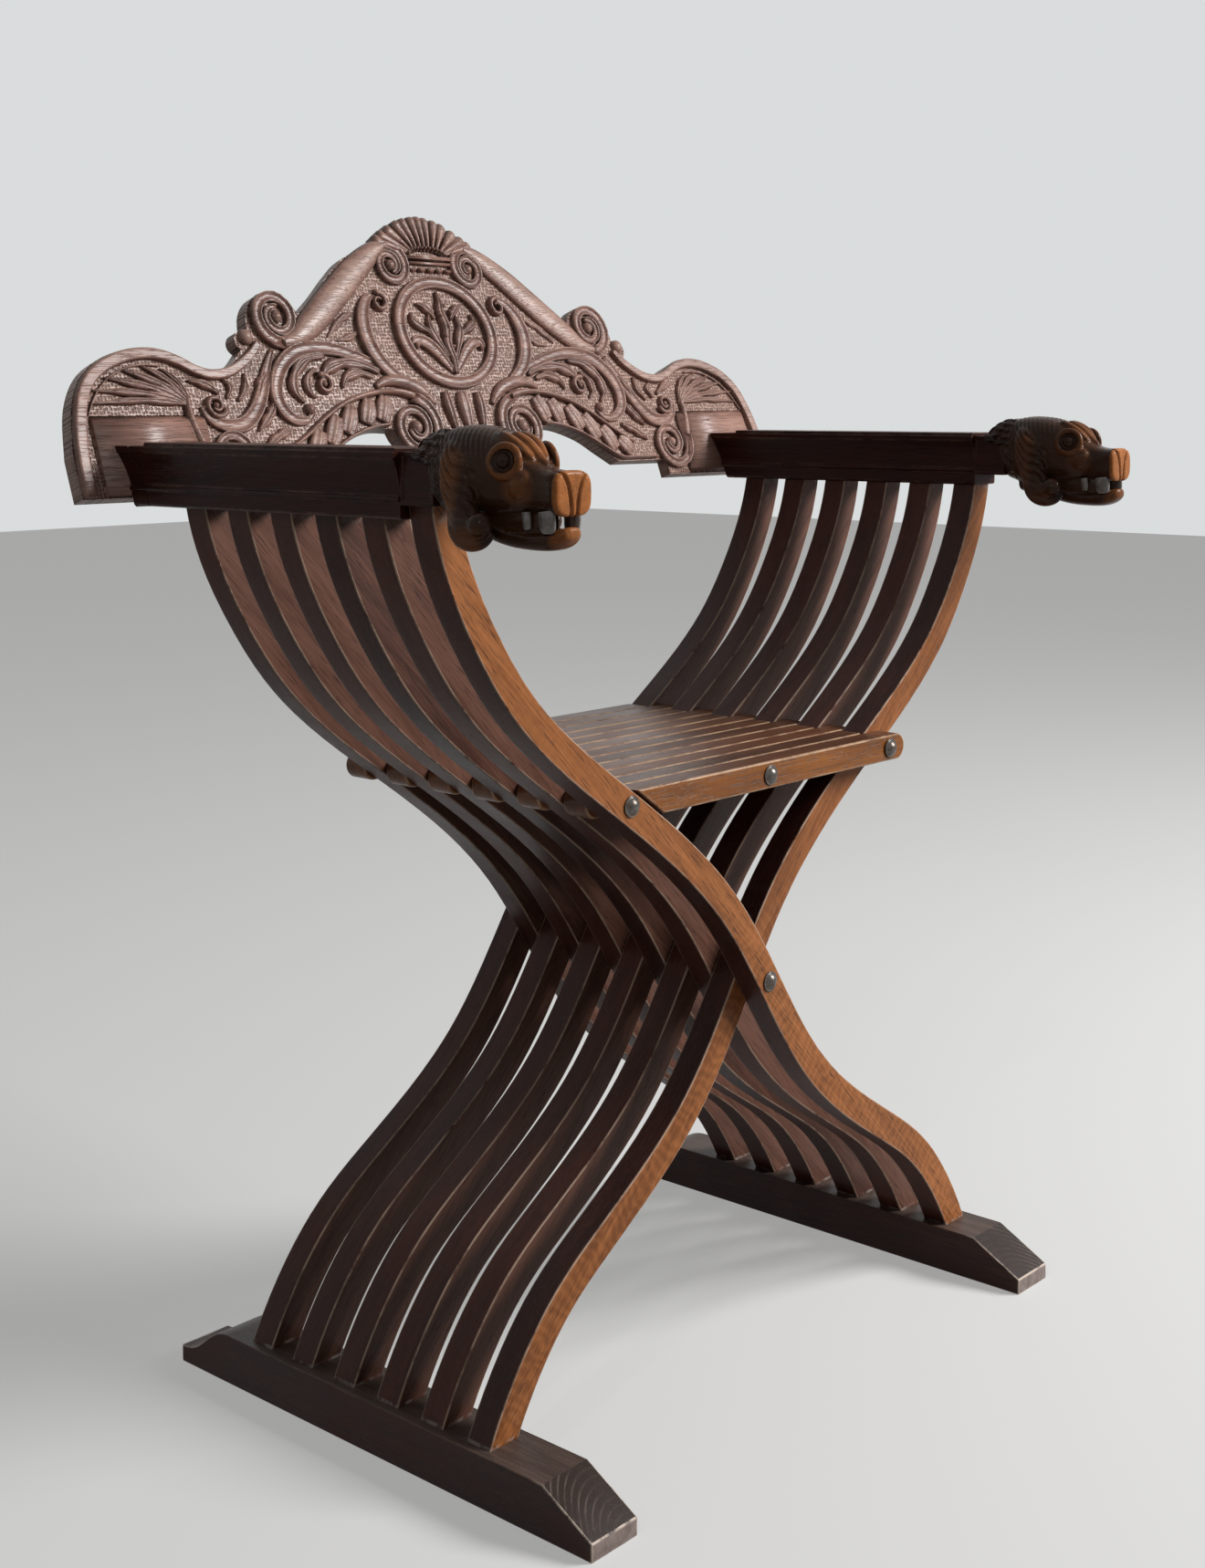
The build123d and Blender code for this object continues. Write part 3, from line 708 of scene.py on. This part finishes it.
def corner_work():
    """Pads, the volute at their corner, and what is carved above them."""
    shells = pairs(flat_band, [
        (269, 37.5, 30.5, 3.2), (366, 37.5, 30.5, 3.2)])
    lead = flow([(280, 80, 2.6, 4), (281, 68, 3.4, 4.6), (279, 55, 4.2, 5), (275.5, 43, 4.8, 5.4)])
    corner = curl((251, 37), 24.8, 6.6, 14, -1.55, 4.8, 2.6, 5.6, 1.3)
    sling = tapered([
        (268, 74), (263, 64.5), (250, 58.5), (234, 59.5), (220, 70), (209, 86), (200, 103),
        (190, 119)], 6.6, 5.2)
    small = curl((256, 74), 9.5, 3.4, -160, 1.35, 3, 1.8, 4.8)
    shells += pairs(channel, corner, sling)
    shells += pairs(dome, lead, small)
    shells += boss_pair(251, 37, 5.4, 6) + boss_pair(256, 74, 3.2, 5)
    fan = []
    for tip, half in (((363, 76), 3.6), ((360, 86), 4.2), ((348, 95.5), 4.6), ((331, 101.5), 4.6),
                      ((314, 105), 4.2), ((298, 103), 3.4)):
        start = (278, 75)
        bow = (0.5 * (start[0] + tip[0]) - 3, 0.5 * (start[1] + tip[1]) + 3)
        fan.append(leaf([start, bow, tip], half, 4.0, 3))
    tuft = [leaf([(250, 84), (262, 91), (276, 94)], 4.4, 4, 2),
            leaf([(243, 80), (238, 89), (244, 95)], 3.4, 3.6, 2),
            leaf([(233, 78), (224, 88), (222, 100)], 3.6, 3.6, 2)]
    shells += pairs(leaf_blade, *fan, *tuft)
    return shells


# -- crest --
def crest_shell():
    """Scallop shell whose ribs end in the top edge of the board."""
    shells, ribs = [], 13
    crest = flow([(57, 215.5), (47, 223), (30, 233.3), (15, 238.4), (0, 240.3)], 12)
    crest += [(-x, z) for x, z in reversed(crest[:-1])]
    for k in range(ribs):
        share = (k + 0.5) / ribs
        tip = crest[round(share * (len(crest) - 1))]
        angle = radians(6 + 168 * share)
        start = (19 * cos(angle), 205.5 + 4.5 * sin(angle))
        out = Vector((tip[0] - start[0], tip[1] - start[1])).normalized()
        half = 5.2 + 0.9 * abs(cos(angle))
        line = flow([
            (*start, 1.5, 2.6),
            (0.6 * start[0] + 0.4 * tip[0], 0.6 * start[1] + 0.4 * tip[1], 0.5 * half, 4.4),
            (tip[0] - 2 * out.x, tip[1] - 2 * out.y, half * 0.96, 4.4)], 7)
        line.append((tip[0] + 0.6 * out.x, min(tip[1] + 0.6 * out.y, BOARD_TOP - 0.5),
                     half * 0.66, 2.6))
        shells.append(band(line, dome, sink=8))
        shells.append(boss((start[0] + 2.4 * out.x, start[1] + 2.4 * out.y), 1.9, 5.4))
    shells += [band([(-25, 203, 2.0, 4.8), (25, 203, 2.0, 4.8)], flat_band),
               band([(-24.5, 198.4, 1.3, 3.6), (24.5, 198.4, 1.3, 3.6)], flat_band)]
    for k in range(5):
        x = -20 + 10 * k
        shells.append(band([(x - 3.4, 192.6, 1.8, 3.6), (x + 3.4, 192.6, 1.8, 3.6)], dome))
    return shells


# -- medallion --
def ellipse_line(centre, across, up, half, rise):
    turns = [2 * pi * k / 48 for k in range(49)]
    return [(centre[0] + across * cos(turn), centre[1] + up * sin(turn), half, rise)
            for turn in turns]


def hoop_band(line, section):
    """A band whose ends meet."""
    ring = line[:-1]
    return skin([across_band(station, ring[(i + 1) % len(ring)], ring[i - 1], section, 1.5)
                 for i, station in [*enumerate(ring), (0, ring[0])]])


MEDAL = (0, 137.5)


def medallion():
    """Oval ring round a spray: two curling leaves, upright leaves and a long bud."""
    x, z = MEDAL
    shells = [hoop_band(ellipse_line(MEDAL, 51.6, 44.4, 5.6, 5.6), channel)]
    low = tapered([
        (x + 2, z - 34), (x + 9, z - 26), (x + 18, z - 16), (x + 28, z - 9), (x + 37, z - 8),
        (x + 40, z - 13)], 5.6, 5, tip=0.35)
    inner = leaf([(x + 3, z - 24), (x + 11, z - 10), (x + 17, z + 4), (x + 15, z + 16)],
                 5.6, 4.8, 2)
    outer = leaf([(x + 14, z - 2), (x + 25, z + 3), (x + 35, z + 10), (x + 33, z + 17)],
                 4.8, 4.6, 2)
    upper = leaf([(x + 9, z + 12), (x + 17, z + 21), (x + 26, z + 25)], 4.4, 4.6, 2)
    shells += pairs(channel, low)
    shells += pairs(leaf_blade, inner, outer, upper)
    shells += boss_pair(x + 37, z - 12, 3.4, 4.6) + boss_pair(x + 11, z + 18, 3, 4.6)
    bud = flow([
        (x, z - 36, 3, 4), (x + 1, z - 24, 4.6, 5), (x - 1.6, z - 10, 5.2, 5.2),
        (x + 1.6, z + 4, 5.6, 5.4), (x - 1, z + 18, 5, 5), (x + 0.5, z + 28, 3.4, 4.4),
        (x, z + 36, 1.2, 3)])
    shells.append(band(bud, leaf_blade))
    for k in range(6):
        shells.append(boss((x + (2.6 if k % 2 else -2.6), z - 22 + 9 * k), 2.7, 5.9))
    return shells


# -- scrollwork between medallion and shoulders --
def scrollwork():
    """C-scrolls that hug the medallion and the leafy scrolls that run out to the sides."""
    hug = tapered([
        (70, 170), (80, 164), (88, 152), (91, 137), (88, 121), (79, 107), (66, 97),
        (52, 90)], 7.4, 5.6)
    hook = curl((68, 162), 8.5, 3, 75, 1.2, 3, 1.8, 5.2)
    strap = tapered([(33, 75), (44, 86), (60, 93), (78, 95), (93, 90)], 6.2, 5.2, tip=0.4)
    stem = tapered([
        (64, 99), (82, 106), (104, 114), (128, 120), (150, 121), (171, 116), (187, 104), (196, 88),
        (195, 73), (185, 63), (171, 62), (163, 70)],
                   6.8, 5.6, tip=0.35)
    shells = pairs(channel, hug, stem)
    shells += pairs(dome, hook, strap)
    shells += boss_pair(167, 71, 5, 5.2)
    blades = [leaf([(86, 102), (104, 108), (124, 109), (141, 103), (149, 91)], 7, 4.8, 3),
              leaf([(140, 115), (160, 111), (174, 99), (177, 85), (170, 76)], 6.6, 4.8, 3),
              leaf([(94, 98), (108, 101), (122, 97), (128, 88)], 5.4, 4.2, 2),
              leaf([(152, 104), (161, 97), (163, 86), (157, 80)], 4.6, 4, 2),
              leaf([(201, 100), (209, 92), (214, 80)], 4.6, 4.2, 2),
              leaf([(200, 76), (208, 66), (221, 54)], 5.4, 4.4, 3),
              leaf([(190, 55), (203, 50), (220, 40)], 5, 4.4, 3),
              leaf([(98, 152), (112, 146), (130, 131)], 4.2, 2.8, 3),
              leaf([(97, 136), (108, 131), (122, 128)], 3.6, 2.6, 2)]
    shells += pairs(leaf_blade, *blades)
    small = curl((147, 91), 8.6, 3, 60, 1.2, 3.2, 1.8, 5)
    shells += pairs(dome, small)
    shells += boss_pair(147, 91, 3, 5.2)
    return shells


def lower_border():
    """Gadrooned arches over the cut-outs, the lower volutes and the middle leaf."""
    top = flow([
        (198, 38, 1.8, 4.4), (176, 50, 2, 4.8), (153, 64.5, 2.2, 5), (131, 75.5, 2.4, 5.2),
        (109, 82, 2.6, 5.4), (88, 85.2, 2.8, 5.4), (70, 85, 3.2, 5.4), (56, 81.5, 4, 5.4)])
    low = flow([
        (226, 24, 1.6, 4.4), (200, 24, 1.6, 4.4), (176, 25, 1.8, 4.4), (156, 35.5, 1.8, 4.4),
        (133, 47.5, 1.8, 4.4), (110, 55, 1.8, 4.4), (90, 57.5, 1.8, 4.4)])
    shells = pairs(dome, top, low)
    upper = flow([(190, 38), (168, 50), (146, 63), (124, 73), (102, 79), (82, 81)], 10)
    under = flow([(200, 29), (176, 31), (154, 41.5), (131, 52.5), (106, 60), (88, 61)], 10)
    for k in range(6):
        place = round((k + 0.5) / 6 * (len(upper) - 1))
        a, b = upper[place], under[place]
        line = flow([
            (a[0] - 2, a[1] + 0.5, 6.6, 3.6), (0.5 * (a[0] + b[0]), 0.5 * (a[1] + b[1]), 9.2, 5.2),
            (b[0] + 2, b[1] - 0.5, 7.4, 3.6)], 6)
        shells += pairs(gouged, line)
    volute = curl((61, 55), 25.5, 7, 96, 1.7, 5, 2.8, 5.8, 1.0, 20)
    shells += pairs(channel, volute)
    shells += boss_pair(61, 55, 6, 6.4)
    for x, half in ((0, 8.8), (18.5, 5.6), (-18.5, 5.6)):
        shells.append(band(flow([
            (x, 85, half * 0.7, 4), (x, 74, half, 5.4), (x * 0.92, 60, half * 0.72, 4.4),
            (x * 0.85, 51, half * 0.4, 3)]), leaf_blade))
    shells.append(band(flow([
        (-34, 45, 1.8, 3.8), (-18, 46.5, 2, 4.2), (0, 43, 2.2, 4.4), (18, 46.5, 2, 4.2),
        (34, 45, 1.8, 3.8)]), dome))
    return shells


ROOT = 2.6                               # how deep the cleats are let into the board


def cleats():
    """The two cleats that hook on the arm rails, cut from a copy of the solid board."""
    block = bmesh.new()
    block.from_mesh(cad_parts["backboard"].data)
    bmesh.ops.remove_doubles(block, verts=block.verts, dist=1e-6)
    bmesh.ops.scale(block, verts=block.verts, vec=(1 / MM,) * 3)
    outwards = board_place.to_3x3() @ Vector((0, 0, 1))
    bmesh.ops.bisect_plane(block, geom=block.verts[:] + block.edges[:] + block.faces[:],
                           plane_co=board_place @ Vector((0, 0, 0.1)), plane_no=outwards,
                           clear_inner=True)
    rim = [e for e in block.edges if e.is_boundary]
    root = bmesh.ops.extrude_edge_only(block, edges=rim)
    bmesh.ops.translate(block, verts=moved_verts(root), vec=outwards * -ROOT)
    bmesh.ops.holes_fill(block, edges=[e for e in block.edges if e.is_boundary], sides=0)
    bmesh.ops.recalc_face_normals(block, faces=block.faces)
    return block


carved = [("backboard_plank", [slab()]), ("backboard_shoulders", shoulder_bands()),
          ("backboard_rims", wing_rims()), ("backboard_corners", corner_work()),
          ("backboard_shell", crest_shell()), ("backboard_medallion", medallion()),
          ("backboard_scrolls", scrollwork()), ("backboard_lower_border", lower_border())]
for name, shells in carved:
    piece = make_piece(name, gather(shells), board_place, "back", board_finish,
                       smooth=name != "backboard_plank")
    if name == "backboard_plank":
        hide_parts("backboard")
make_piece("backboard_cleats", cleats(), Matrix.Identity(4), "back", rail_walnut,
           smooth=False)


# ---------- hound heads: sideways, forwards (as -y), up from the arm rail's underside ----------
HEAD_AXIS = 28.0                         # height of the line that the strands turn about
EYE = 68.5, 37.5                         # how far forwards, and how high


def at(x, forwards, z):
    return Vector((x, -forwards, z))


def oval_ring(centre, across, up, half_a, half_b, square, count=32):
    """Points round an oval, which grows squarer than an ellipse above a square of 2."""
    def reach(share):
        return abs(share) ** (2 / square) * (1 if share > 0 else -1)
    turns = [2 * pi * k / count for k in range(count)]
    return [centre + across * (half_a * reach(cos(turn))) + up * (half_b * reach(sin(turn)))
            for turn in turns]


SIDEWAYS, UPWARDS, AHEAD = Vector((1, 0, 0)), Vector((0, 0, 1)), Vector((0, -1, 0))


def barrel(run, square=None):
    """A shell along the head; stations: forwards, lowest, highest, half width, squareness."""
    return skin([oval_ring(at(0, f, (low + high) / 2), SIDEWAYS, UPWARDS, half, (high - low) / 2,
                           square or own[0]) for f, low, high, half, *own in run])


def skull():
    return barrel(flow([
        (-15, 37, 41.6, 9, 2.6), (-8, 36, 47, 13.5, 2.6), (-1, 31, 51.5, 16.5, 2.6),
        (6, 9, 54.5, 18.3, 2.6), (12, 5, 56, 20.5, 2.5), (24, 1, 58, 24, 2.3),
        (36, 0, 58, 25, 2.3), (48, 1, 56.5, 24.5, 2.3), (60, 3, 52.5, 21.8, 2.6),
        (70, 5, 47, 18.6, 3), (78, 6, 40, 15.2, 2.6), (86, 6.5, 34.5, 13.8, 2.6),
        (94, 6.4, 32.6, 13.9, 3), (100, 6.1, 32.4, 14.8, 3.4), (103.6, 5.6, 32.7, 16, 3.6),
        (105.8, 6.2, 32, 15.3, 3.4), (106.6, 7.8, 30.4, 13.8, 3.2)], 4))


def lower_jaw():
    return barrel(flow([
        (6, 8, 24, 12), (24, 0, 22, 15.5), (40, -6.5, 14, 16), (52, -11, 4, 15.5),
        (65, -13.8, -1.5, 14), (80, -14.8, -3.5, 12.5), (92, -14.4, -2.5, 11.4),
        (100, -12.2, -0.8, 9.8), (105, -8.6, -0.2, 7.2), (106.7, -6, -1.8, 3)], 4), 2.6)


def tube(points, radii, count, flat=1.0, flat_along=SIDEWAYS):
    """A closed tube through 3-D points."""
    rings = []
    for i, point in enumerate(points):
        ahead, behind = points[min(i + 1, len(points) - 1)], points[max(i - 1, 0)]
        if i in (0, len(points) - 1) and (points[0] - points[-1]).length < 1e-3:
            ahead, behind = points[1], points[-2]
        along = (ahead - behind).normalized()
        across = along.cross(flat_along).normalized()
        out = across.cross(along).normalized()
        rings.append(oval_ring(point, across, out, radii[i], radii[i] * flat, 2.0, count))
    return skin(rings)


def hoop(centre, facing, radius, thick):
    facing = facing.normalized()
    across = facing.cross(UPWARDS).normalized()
    up = across.cross(facing)
    turns = [2 * pi * k / 32 for k in range(33)]
    points = [centre + across * radius * cos(turn) + up * radius * sin(turn) for turn in turns]
    return tube(points, [thick] * 33, 10, 1.0, facing)


def ear(side):
    """A broad hanging ear that swells into a round lobe."""
    run = flow([
        (14.5, 26, 50.5, 4, 3.5), (20, 29, 46, 7, 4.2), (23.5, 32, 38, 10.5, 5),
        (25, 35, 28, 12.8, 5.5), (26, 38, 18, 12.8, 6), (26.4, 42, 8, 11.8, 7),
        (26.4, 47, 0, 12.8, 9), (26, 50, -6, 12.8, 9.4), (25.4, 51.5, -11, 9.2, 7),
        (25, 52, -14, 3.6, 3.2)], 5)
    return skin([oval_ring(at(side * x, f, z), AHEAD, SIDEWAYS, wide, thick, 2.2, 28)
                 for x, f, z, wide, thick in run])


class Lay:
    """Finds places on a carved form, to lay hair and folds on."""

    def __init__(self, form):
        self.tree = BVHTree.FromBMesh(form)

    def over(self, side, forwards, angle):
        out = Vector((side * sin(radians(angle)), 0, cos(radians(angle))))
        axis = at(0, forwards, HEAD_AXIS)
        return self.tree.ray_cast(axis + out * 90, -out)[0] or axis + out * 20

    def beside(self, side, forwards, z):
        hit = self.tree.ray_cast(at(side * 90, forwards, z), Vector((-side, 0, 0)))[0]
        return hit or at(side * 20, forwards, z)

    def above(self, x, forwards):
        return self.tree.ray_cast(at(x, forwards, 120), -UPWARDS)[0] or at(x, forwards, 40)


def eye(lay, side):
    """Ringed eye: a rolled lid, the ball and a cut iris."""
    facing = Vector((side * 0.93, -0.3, 0.16)).normalized()
    centre = lay.beside(side, *EYE)
    return [hoop(centre + facing * 0.2, facing, 8.9, 2.7),
            ball(centre - facing * 2.4, (6.2, 6.2, 6.2)),
            hoop(centre + facing * 3.0, facing, 3.2, 0.9),
            ball(centre + facing * 3.4, (1.4, 1.4, 1.4))]


def lock(points, thick, sunk):
    """A strand of hair: a tube sunk in the form by a share of its thickness, thin at its ends."""
    centre = Vector((0, sum(p.y for p in points) / len(points), 26))
    last = len(points) - 1
    line = [p + (centre - p).normalized() * thick * sunk for p in points]
    return tube(line, [max(0.5, thick * sin(pi * (0.06 + 0.88 * i / last)) ** 0.5)
                       for i in range(last + 1)], 10)


def nape_locks(lay, side):
    """Thick locks at the nape, over the edge of the neck block."""
    shells = []
    for k in range(5):
        angle = 6 + 13 * k
        run = flow([(-13, angle), (-5, angle + 2), (4, angle + 7), (14, angle + 14)], 5)
        shells.append(lock([lay.over(side, f, a) for f, a in run], 2.6, 0.0))
    for k in range(2):
        run = flow([(7 + k, 30 - 9 * k), (12, 27 - 9 * k), (18, 21 - 9 * k)], 5)
        shells.append(lock([lay.beside(side, f, z) for f, z in run], 2.5, 0.1))
    return shells


def brow_folds(lay):
    """Three thick folds that run down from the forehead between the eyes."""
    shells = []
    for x, first, last, thick in ((-8.4, 55, 80, 3.8), (0, 58, 86, 4.2), (8.4, 55, 80, 3.8)):
        run = flow([(x, first), (x * 1.05, 0.5 * (first + last)), (x * 0.7, last)], 6)
        shells.append(lock([lay.above(*place) for place in run], thick, 0.1))
    return shells


def mouth_fill():
    """What closes the mouth behind the teeth."""
    return barrel(flow([
        (18, -4, 14, 11), (40, -8, 14, 14), (60, -10, 12, 13), (72, -10, 11, 11),
        (84, -9, 10, 8.6), (89, -6, 9, 6)], 4), 2.8)


def ear_rolls(side):
    """The lobe's round bead and the thick roll that runs under it."""
    bead = ball(at(side * 29.5, 59, 0.5), (7, 8.4, 7.6))
    line = [at(side * x, f, z) for x, f, z in flow(
        [(30, 36, 4), (32, 40, -4), (33, 47, -9.6), (33, 56, -11.6), (31, 64, -9.6),
         (28, 68.5, -4)], 5)]
    last = len(line) - 1
    return [bead, tube(line, [3.6 * sin(pi * (0.12 + 0.8 * i / last)) ** 0.5
                              for i in range(last + 1)], 12, 1.0, Vector((side, 0, 0.3)))]


def furrow(phase):
    """1 in the furrow between two strands, 0 on their crests."""
    return 1 - abs(sin(pi * phase)) ** 0.7


def carve_strands(form):
    """Combed furrows over the crown and the nape, waves down the ears."""
    form.normal_update()
    cuts = []
    for v in form.verts:
        x, f, z = abs(v.co.x), -v.co.y, v.co.z
        angle = degrees(atan2(x, z - HEAD_AXIS))
        crown = near_to(f, 12, 52, 5) * near_to(angle, -5, 56, 9)
        nape = near_to(f, -20, 8, 4) * near_to(angle, -5, 75, 9)
        temple = near_to(f, 8, 22, 3) * near_to(z, 8, 40, 5) * near_to(x, 15, 25, 3)
        flap = near_to(x, 25.5, 45, 2) * near_to(f, 24, 52, 3) * near_to(z, 6, 44, 5)
        cut = 1.25 * crown * furrow((f - angle / 4.6) / 3.9)
        cut += 1.1 * nape * (1 - crown) * furrow(angle / 9.5 + f / 26)
        cut += 1.0 * temple * (1 - crown) * furrow((f + 0.4 * z) / 4.4)
        cut += 2.1 * flap * furrow((z + 0.72 * f + 2.6 * sin(f / 4.5)) / 7)
        cuts.append(cut)
    for v, cut in zip(form.verts, cuts):
        v.co -= v.normal * cut


VOXEL, SMOOTHINGS = 0.8, 2


def remeshed(form):
    """One skin over all the joined lumps, gently smoothed."""
    holder = placed("form", to_mesh("form", form))
    change = holder.modifiers.new("skin", "REMESH")
    change.mode = "VOXEL"
    change.voxel_size = VOXEL
    bpy.context.view_layer.update()
    done = bpy.data.meshes.new_from_object(
        holder.evaluated_get(bpy.context.evaluated_depsgraph_get()))
    bpy.data.objects.remove(holder)
    result = bmesh.new()
    result.from_mesh(done)
    for _ in range(SMOOTHINGS):
        bmesh.ops.smooth_vert(result, verts=result.verts, factor=0.5, use_axis_x=True,
                              use_axis_y=True, use_axis_z=True)
    return result


NOSE_FLAT, GROOVE_HALF, GROOVE_DEPTH = 104.2, 1.7, 2.2
NOSE_LINES = [flow([(-10, 31.5), (-5.4, 25), (-3, 15), (-2.4, 6)], 6),
              flow([(10.5, 31.5), (6, 25), (3.4, 15), (2.6, 6)], 6)]


def cut_nose(form):
    """Two grooves that run together down the flat nose."""
    for v in form.verts:
        if v.co.y > -NOSE_FLAT or v.co.z < 2:
            continue
        for line in NOSE_LINES:
            near = min(hypot(v.co.x - x, v.co.z - z) for x, z in line) / GROOVE_HALF
            if near < 1:
                v.co.y += GROOVE_DEPTH * (1 - near) ** 0.7


def near_to(value, low, high, soft):
    """1 between low and high, falling to 0 over the soft margin."""
    return max(0.0, min(1.0, (value - low) / soft + 1, (high - value) / soft + 1))


def mark_hand_wear_and_highlight(form, share):
    """Where hands have polished the stain away: the nose, and by the share the brow and the rest;
    the marks on the eye's lid and the ear's flap are also a painted highlight.
    """
    layer = form.verts.layers.float.new("handled")
    for v in form.verts:
        x, f, z = abs(v.co.x), -v.co.y, v.co.z
        nose = near_to(f, 104.4, 120, 1.4) * near_to(z, 3, 40, 2)
        chin = 0.75 * near_to(f, 100, 120, 6) * near_to(z, -20, 0, 2)
        # the lid ring: a painted highlight
        lid = 0.6 * near_to(hypot(f - EYE[0], z - EYE[1]), 7.6, 11, 1) * near_to(x, 15, 30, 2)
        brow = 0.75 * near_to(f, 64, 84, 9) * near_to(z, 43, 60, 8) * near_to(x, 0, 10, 6)
        cheek = 0.42 * near_to(hypot(f - 77, z - 22), 0, 5, 7) * near_to(x, 14, 30, 3)
        # the ear's flap: a painted highlight
        flap = 0.55 * near_to(f, 26, 36, 8) * near_to(z, 4, 40, 10) * near_to(x, 25, 40, 3)
        lobe = 0.3 * near_to(f, 40, 60, 6) * near_to(z, -20, -4, 5) * near_to(x, 20, 40, 3)
        v[layer] = max(nose, share * max(chin, lid, brow, cheek, flap, lobe))


def teeth():
    """Broad blunt teeth, two on each side of the upper jaw."""
    shells = []
    for side in (-1, 1):
        for x, f, root, tip, thick, breadth in ((10.8, 95, 9, -4, 2.7, 2.35),
                                                (11.4, 79.5, 8, -2.2, 2.2, 1.4)):
            line = [at(side * a, b, z) for a, b, z in flow(
                [(x, f - 0.6, root), (x, f, 0.6 * root + 0.4 * tip),
                 (x - 0.3, f + 0.2, 0.25 * root + 0.75 * tip), (x - 0.6, f + 0.4, tip)], 5)]
            last = len(line) - 1
            radii = [thick * (1 - 0.4 * (i / last) ** 5) for i in range(last + 1)]
            shells.append(tube(line, radii, 18, breadth, AHEAD))
    return shells


def head_form():
    lumps = [skull(), lower_jaw(), mouth_fill()]
    for side in (-1, 1):
        lumps += [ear(side), ball(at(side * 13.2, 76, 23.5), (6.4, 9, 9.5), 0.3)]
    base = gather(lumps)
    bmesh.ops.recalc_face_normals(base, faces=base.faces)
    lay = Lay(base)
    details = brow_folds(lay)
    for side in (-1, 1):
        details += nape_locks(lay, side) + ear_rolls(side) + eye(lay, side)
    form = remeshed(gather([base, *details]))
    cut_nose(form)
    carve_strands(form)
    bmesh.ops.recalc_face_normals(form, faces=form.faces)
    return form


def neck_block():
    """Square block behind the head with a sunk panel on each side."""
    block = bmesh.new()
    bmesh.ops.create_cube(block, size=1)
    bmesh.ops.scale(block, verts=block.verts, vec=(35, 29.5, 32.5))
    bmesh.ops.translate(block, verts=block.verts, vec=at(0, -6.75, 25.25))
    flanks = [f for f in block.faces if abs(f.normal.x) > 0.9 or f.normal.z < -0.9]
    bmesh.ops.inset_individual(block, faces=flanks, thickness=3.2, depth=0)
    bmesh.ops.inset_individual(block, faces=flanks, thickness=0.9, depth=-0.9)
    bmesh.ops.bevel(block, geom=block.edges, offset=0.35, segments=2, profile=0.5,
                    affect="EDGES", material=-1, clamp_overlap=True)
    return block


form = head_form()
tooth_white = tooth_paint()
for side, body in ((-1, "frame_a"), (1, "frame_b")):
    word = "left" if side < 0 else "right"
    place = Matrix.Translation((side * HEAD_X, FRONT, ARM_Z))
    head = form.copy()
    # the right head, which stands in shade, gets a smaller share: painted shade
    mark_hand_wear_and_highlight(head, 1.0 if side < 0 else 0.45)
    piece = make_piece(f"hound_head_{word}", head, place, body, head_walnut)
    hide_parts(f"head_{word}")
    make_piece(f"neck_block_{word}", neck_block(), place, body, rail_walnut,
               smooth=False)
    make_piece(f"teeth_{word}", gather(teeth()), place, body, tooth_white)
form.free()


# ---------- floor, lamps, camera ----------
def seen_or_mirrored(tree):
    """1 for what the camera, a reflection or a clear body shows, 0 for light on the object."""
    path = put(tree, "ShaderNodeLightPath")
    seen = path["Is Camera Ray"].highest(path["Is Glossy Ray"])
    return seen.highest(path["Is Transmission Ray"])


def floor():
    bed = bmesh.new()
    bmesh.ops.create_grid(bed, x_segments=1, y_segments=1, size=9)
    finish = Finish("pale_floor")
    seen = seen_or_mirrored(finish.tree)
    finish.take(Base_Color=mix(finish.tree, seen, (0.26, 0.25, 0.24), (0.44, 0.436, 0.428)),
                Roughness=1.0, Specular_IOR_Level=0.1, Emission_Color=(0.66, 0.66, 0.65, 1),
                Emission_Strength=seen * 0.48)
    plane = placed("floor", to_mesh("floor", bed))
    plane.data.materials.append(finish.material)


def lamp(name, place, target, size, power):
    light = bpy.data.lights.new(name, "AREA")
    light.shape = "DISK"
    light.size = size
    light.energy = power
    holder = placed(name, light)
    holder.location = place
    holder.rotation_euler = (Vector(target) - Vector(place)).to_track_quat("-Z", "Y").to_euler()


def backdrop():
    world = bpy.data.worlds.new("studio")
    world.use_nodes = True
    tree = world.node_tree
    tree.nodes.clear()
    seen = seen_or_mirrored(tree)
    dim = put(tree, "ShaderNodeBackground", {0: (0.95, 0.98, 1, 1), 1: 0.11})
    pale = put(tree, "ShaderNodeBackground", {0: (0.7, 0.72, 0.72, 1), 1: 1.0})
    put(tree, "ShaderNodeOutputWorld", {0: put(tree, "ShaderNodeMixShader",
                                               {0: seen, 1: dim, 2: pale})})
    bpy.context.scene.world = world


def camera():
    """Long side of the frame 1718 pixels; the lens axis passes above the frame's middle."""
    pixels, focal, axis_row = 1718, 2268.6, 600.0
    turn, tilt, roll = radians(-48.41), radians(-4.11), radians(-0.12)
    eye_point = Vector((-1205.2, -1045.4, 725.3)) * MM
    view = bpy.data.cameras.new("camera")
    view.sensor_width = 36
    view.lens = focal * 36 / pixels
    view.shift_y = (axis_row - pixels / 2) / pixels
    view.clip_end = 50
    holder = placed("camera", view)
    holder.matrix_world = (
        Matrix.Translation(eye_point) @ Matrix.Rotation(turn, 4, "Z")
        @ Matrix.Rotation(pi / 2 + tilt, 4, "X") @ Matrix.Rotation(roll, 4, "Z"))
    bpy.context.scene.camera = holder


floor()
lamp("window", (1.95, -2.15, 2.2), (0.05, 0, 0.5), 1.5, 150)
lamp("glint", (-2.2, -0.9, 1.9), (0, 0, 0.6), 0.12, 4)
backdrop()
camera()
bpy.context.scene.view_settings.view_transform = "Standard"
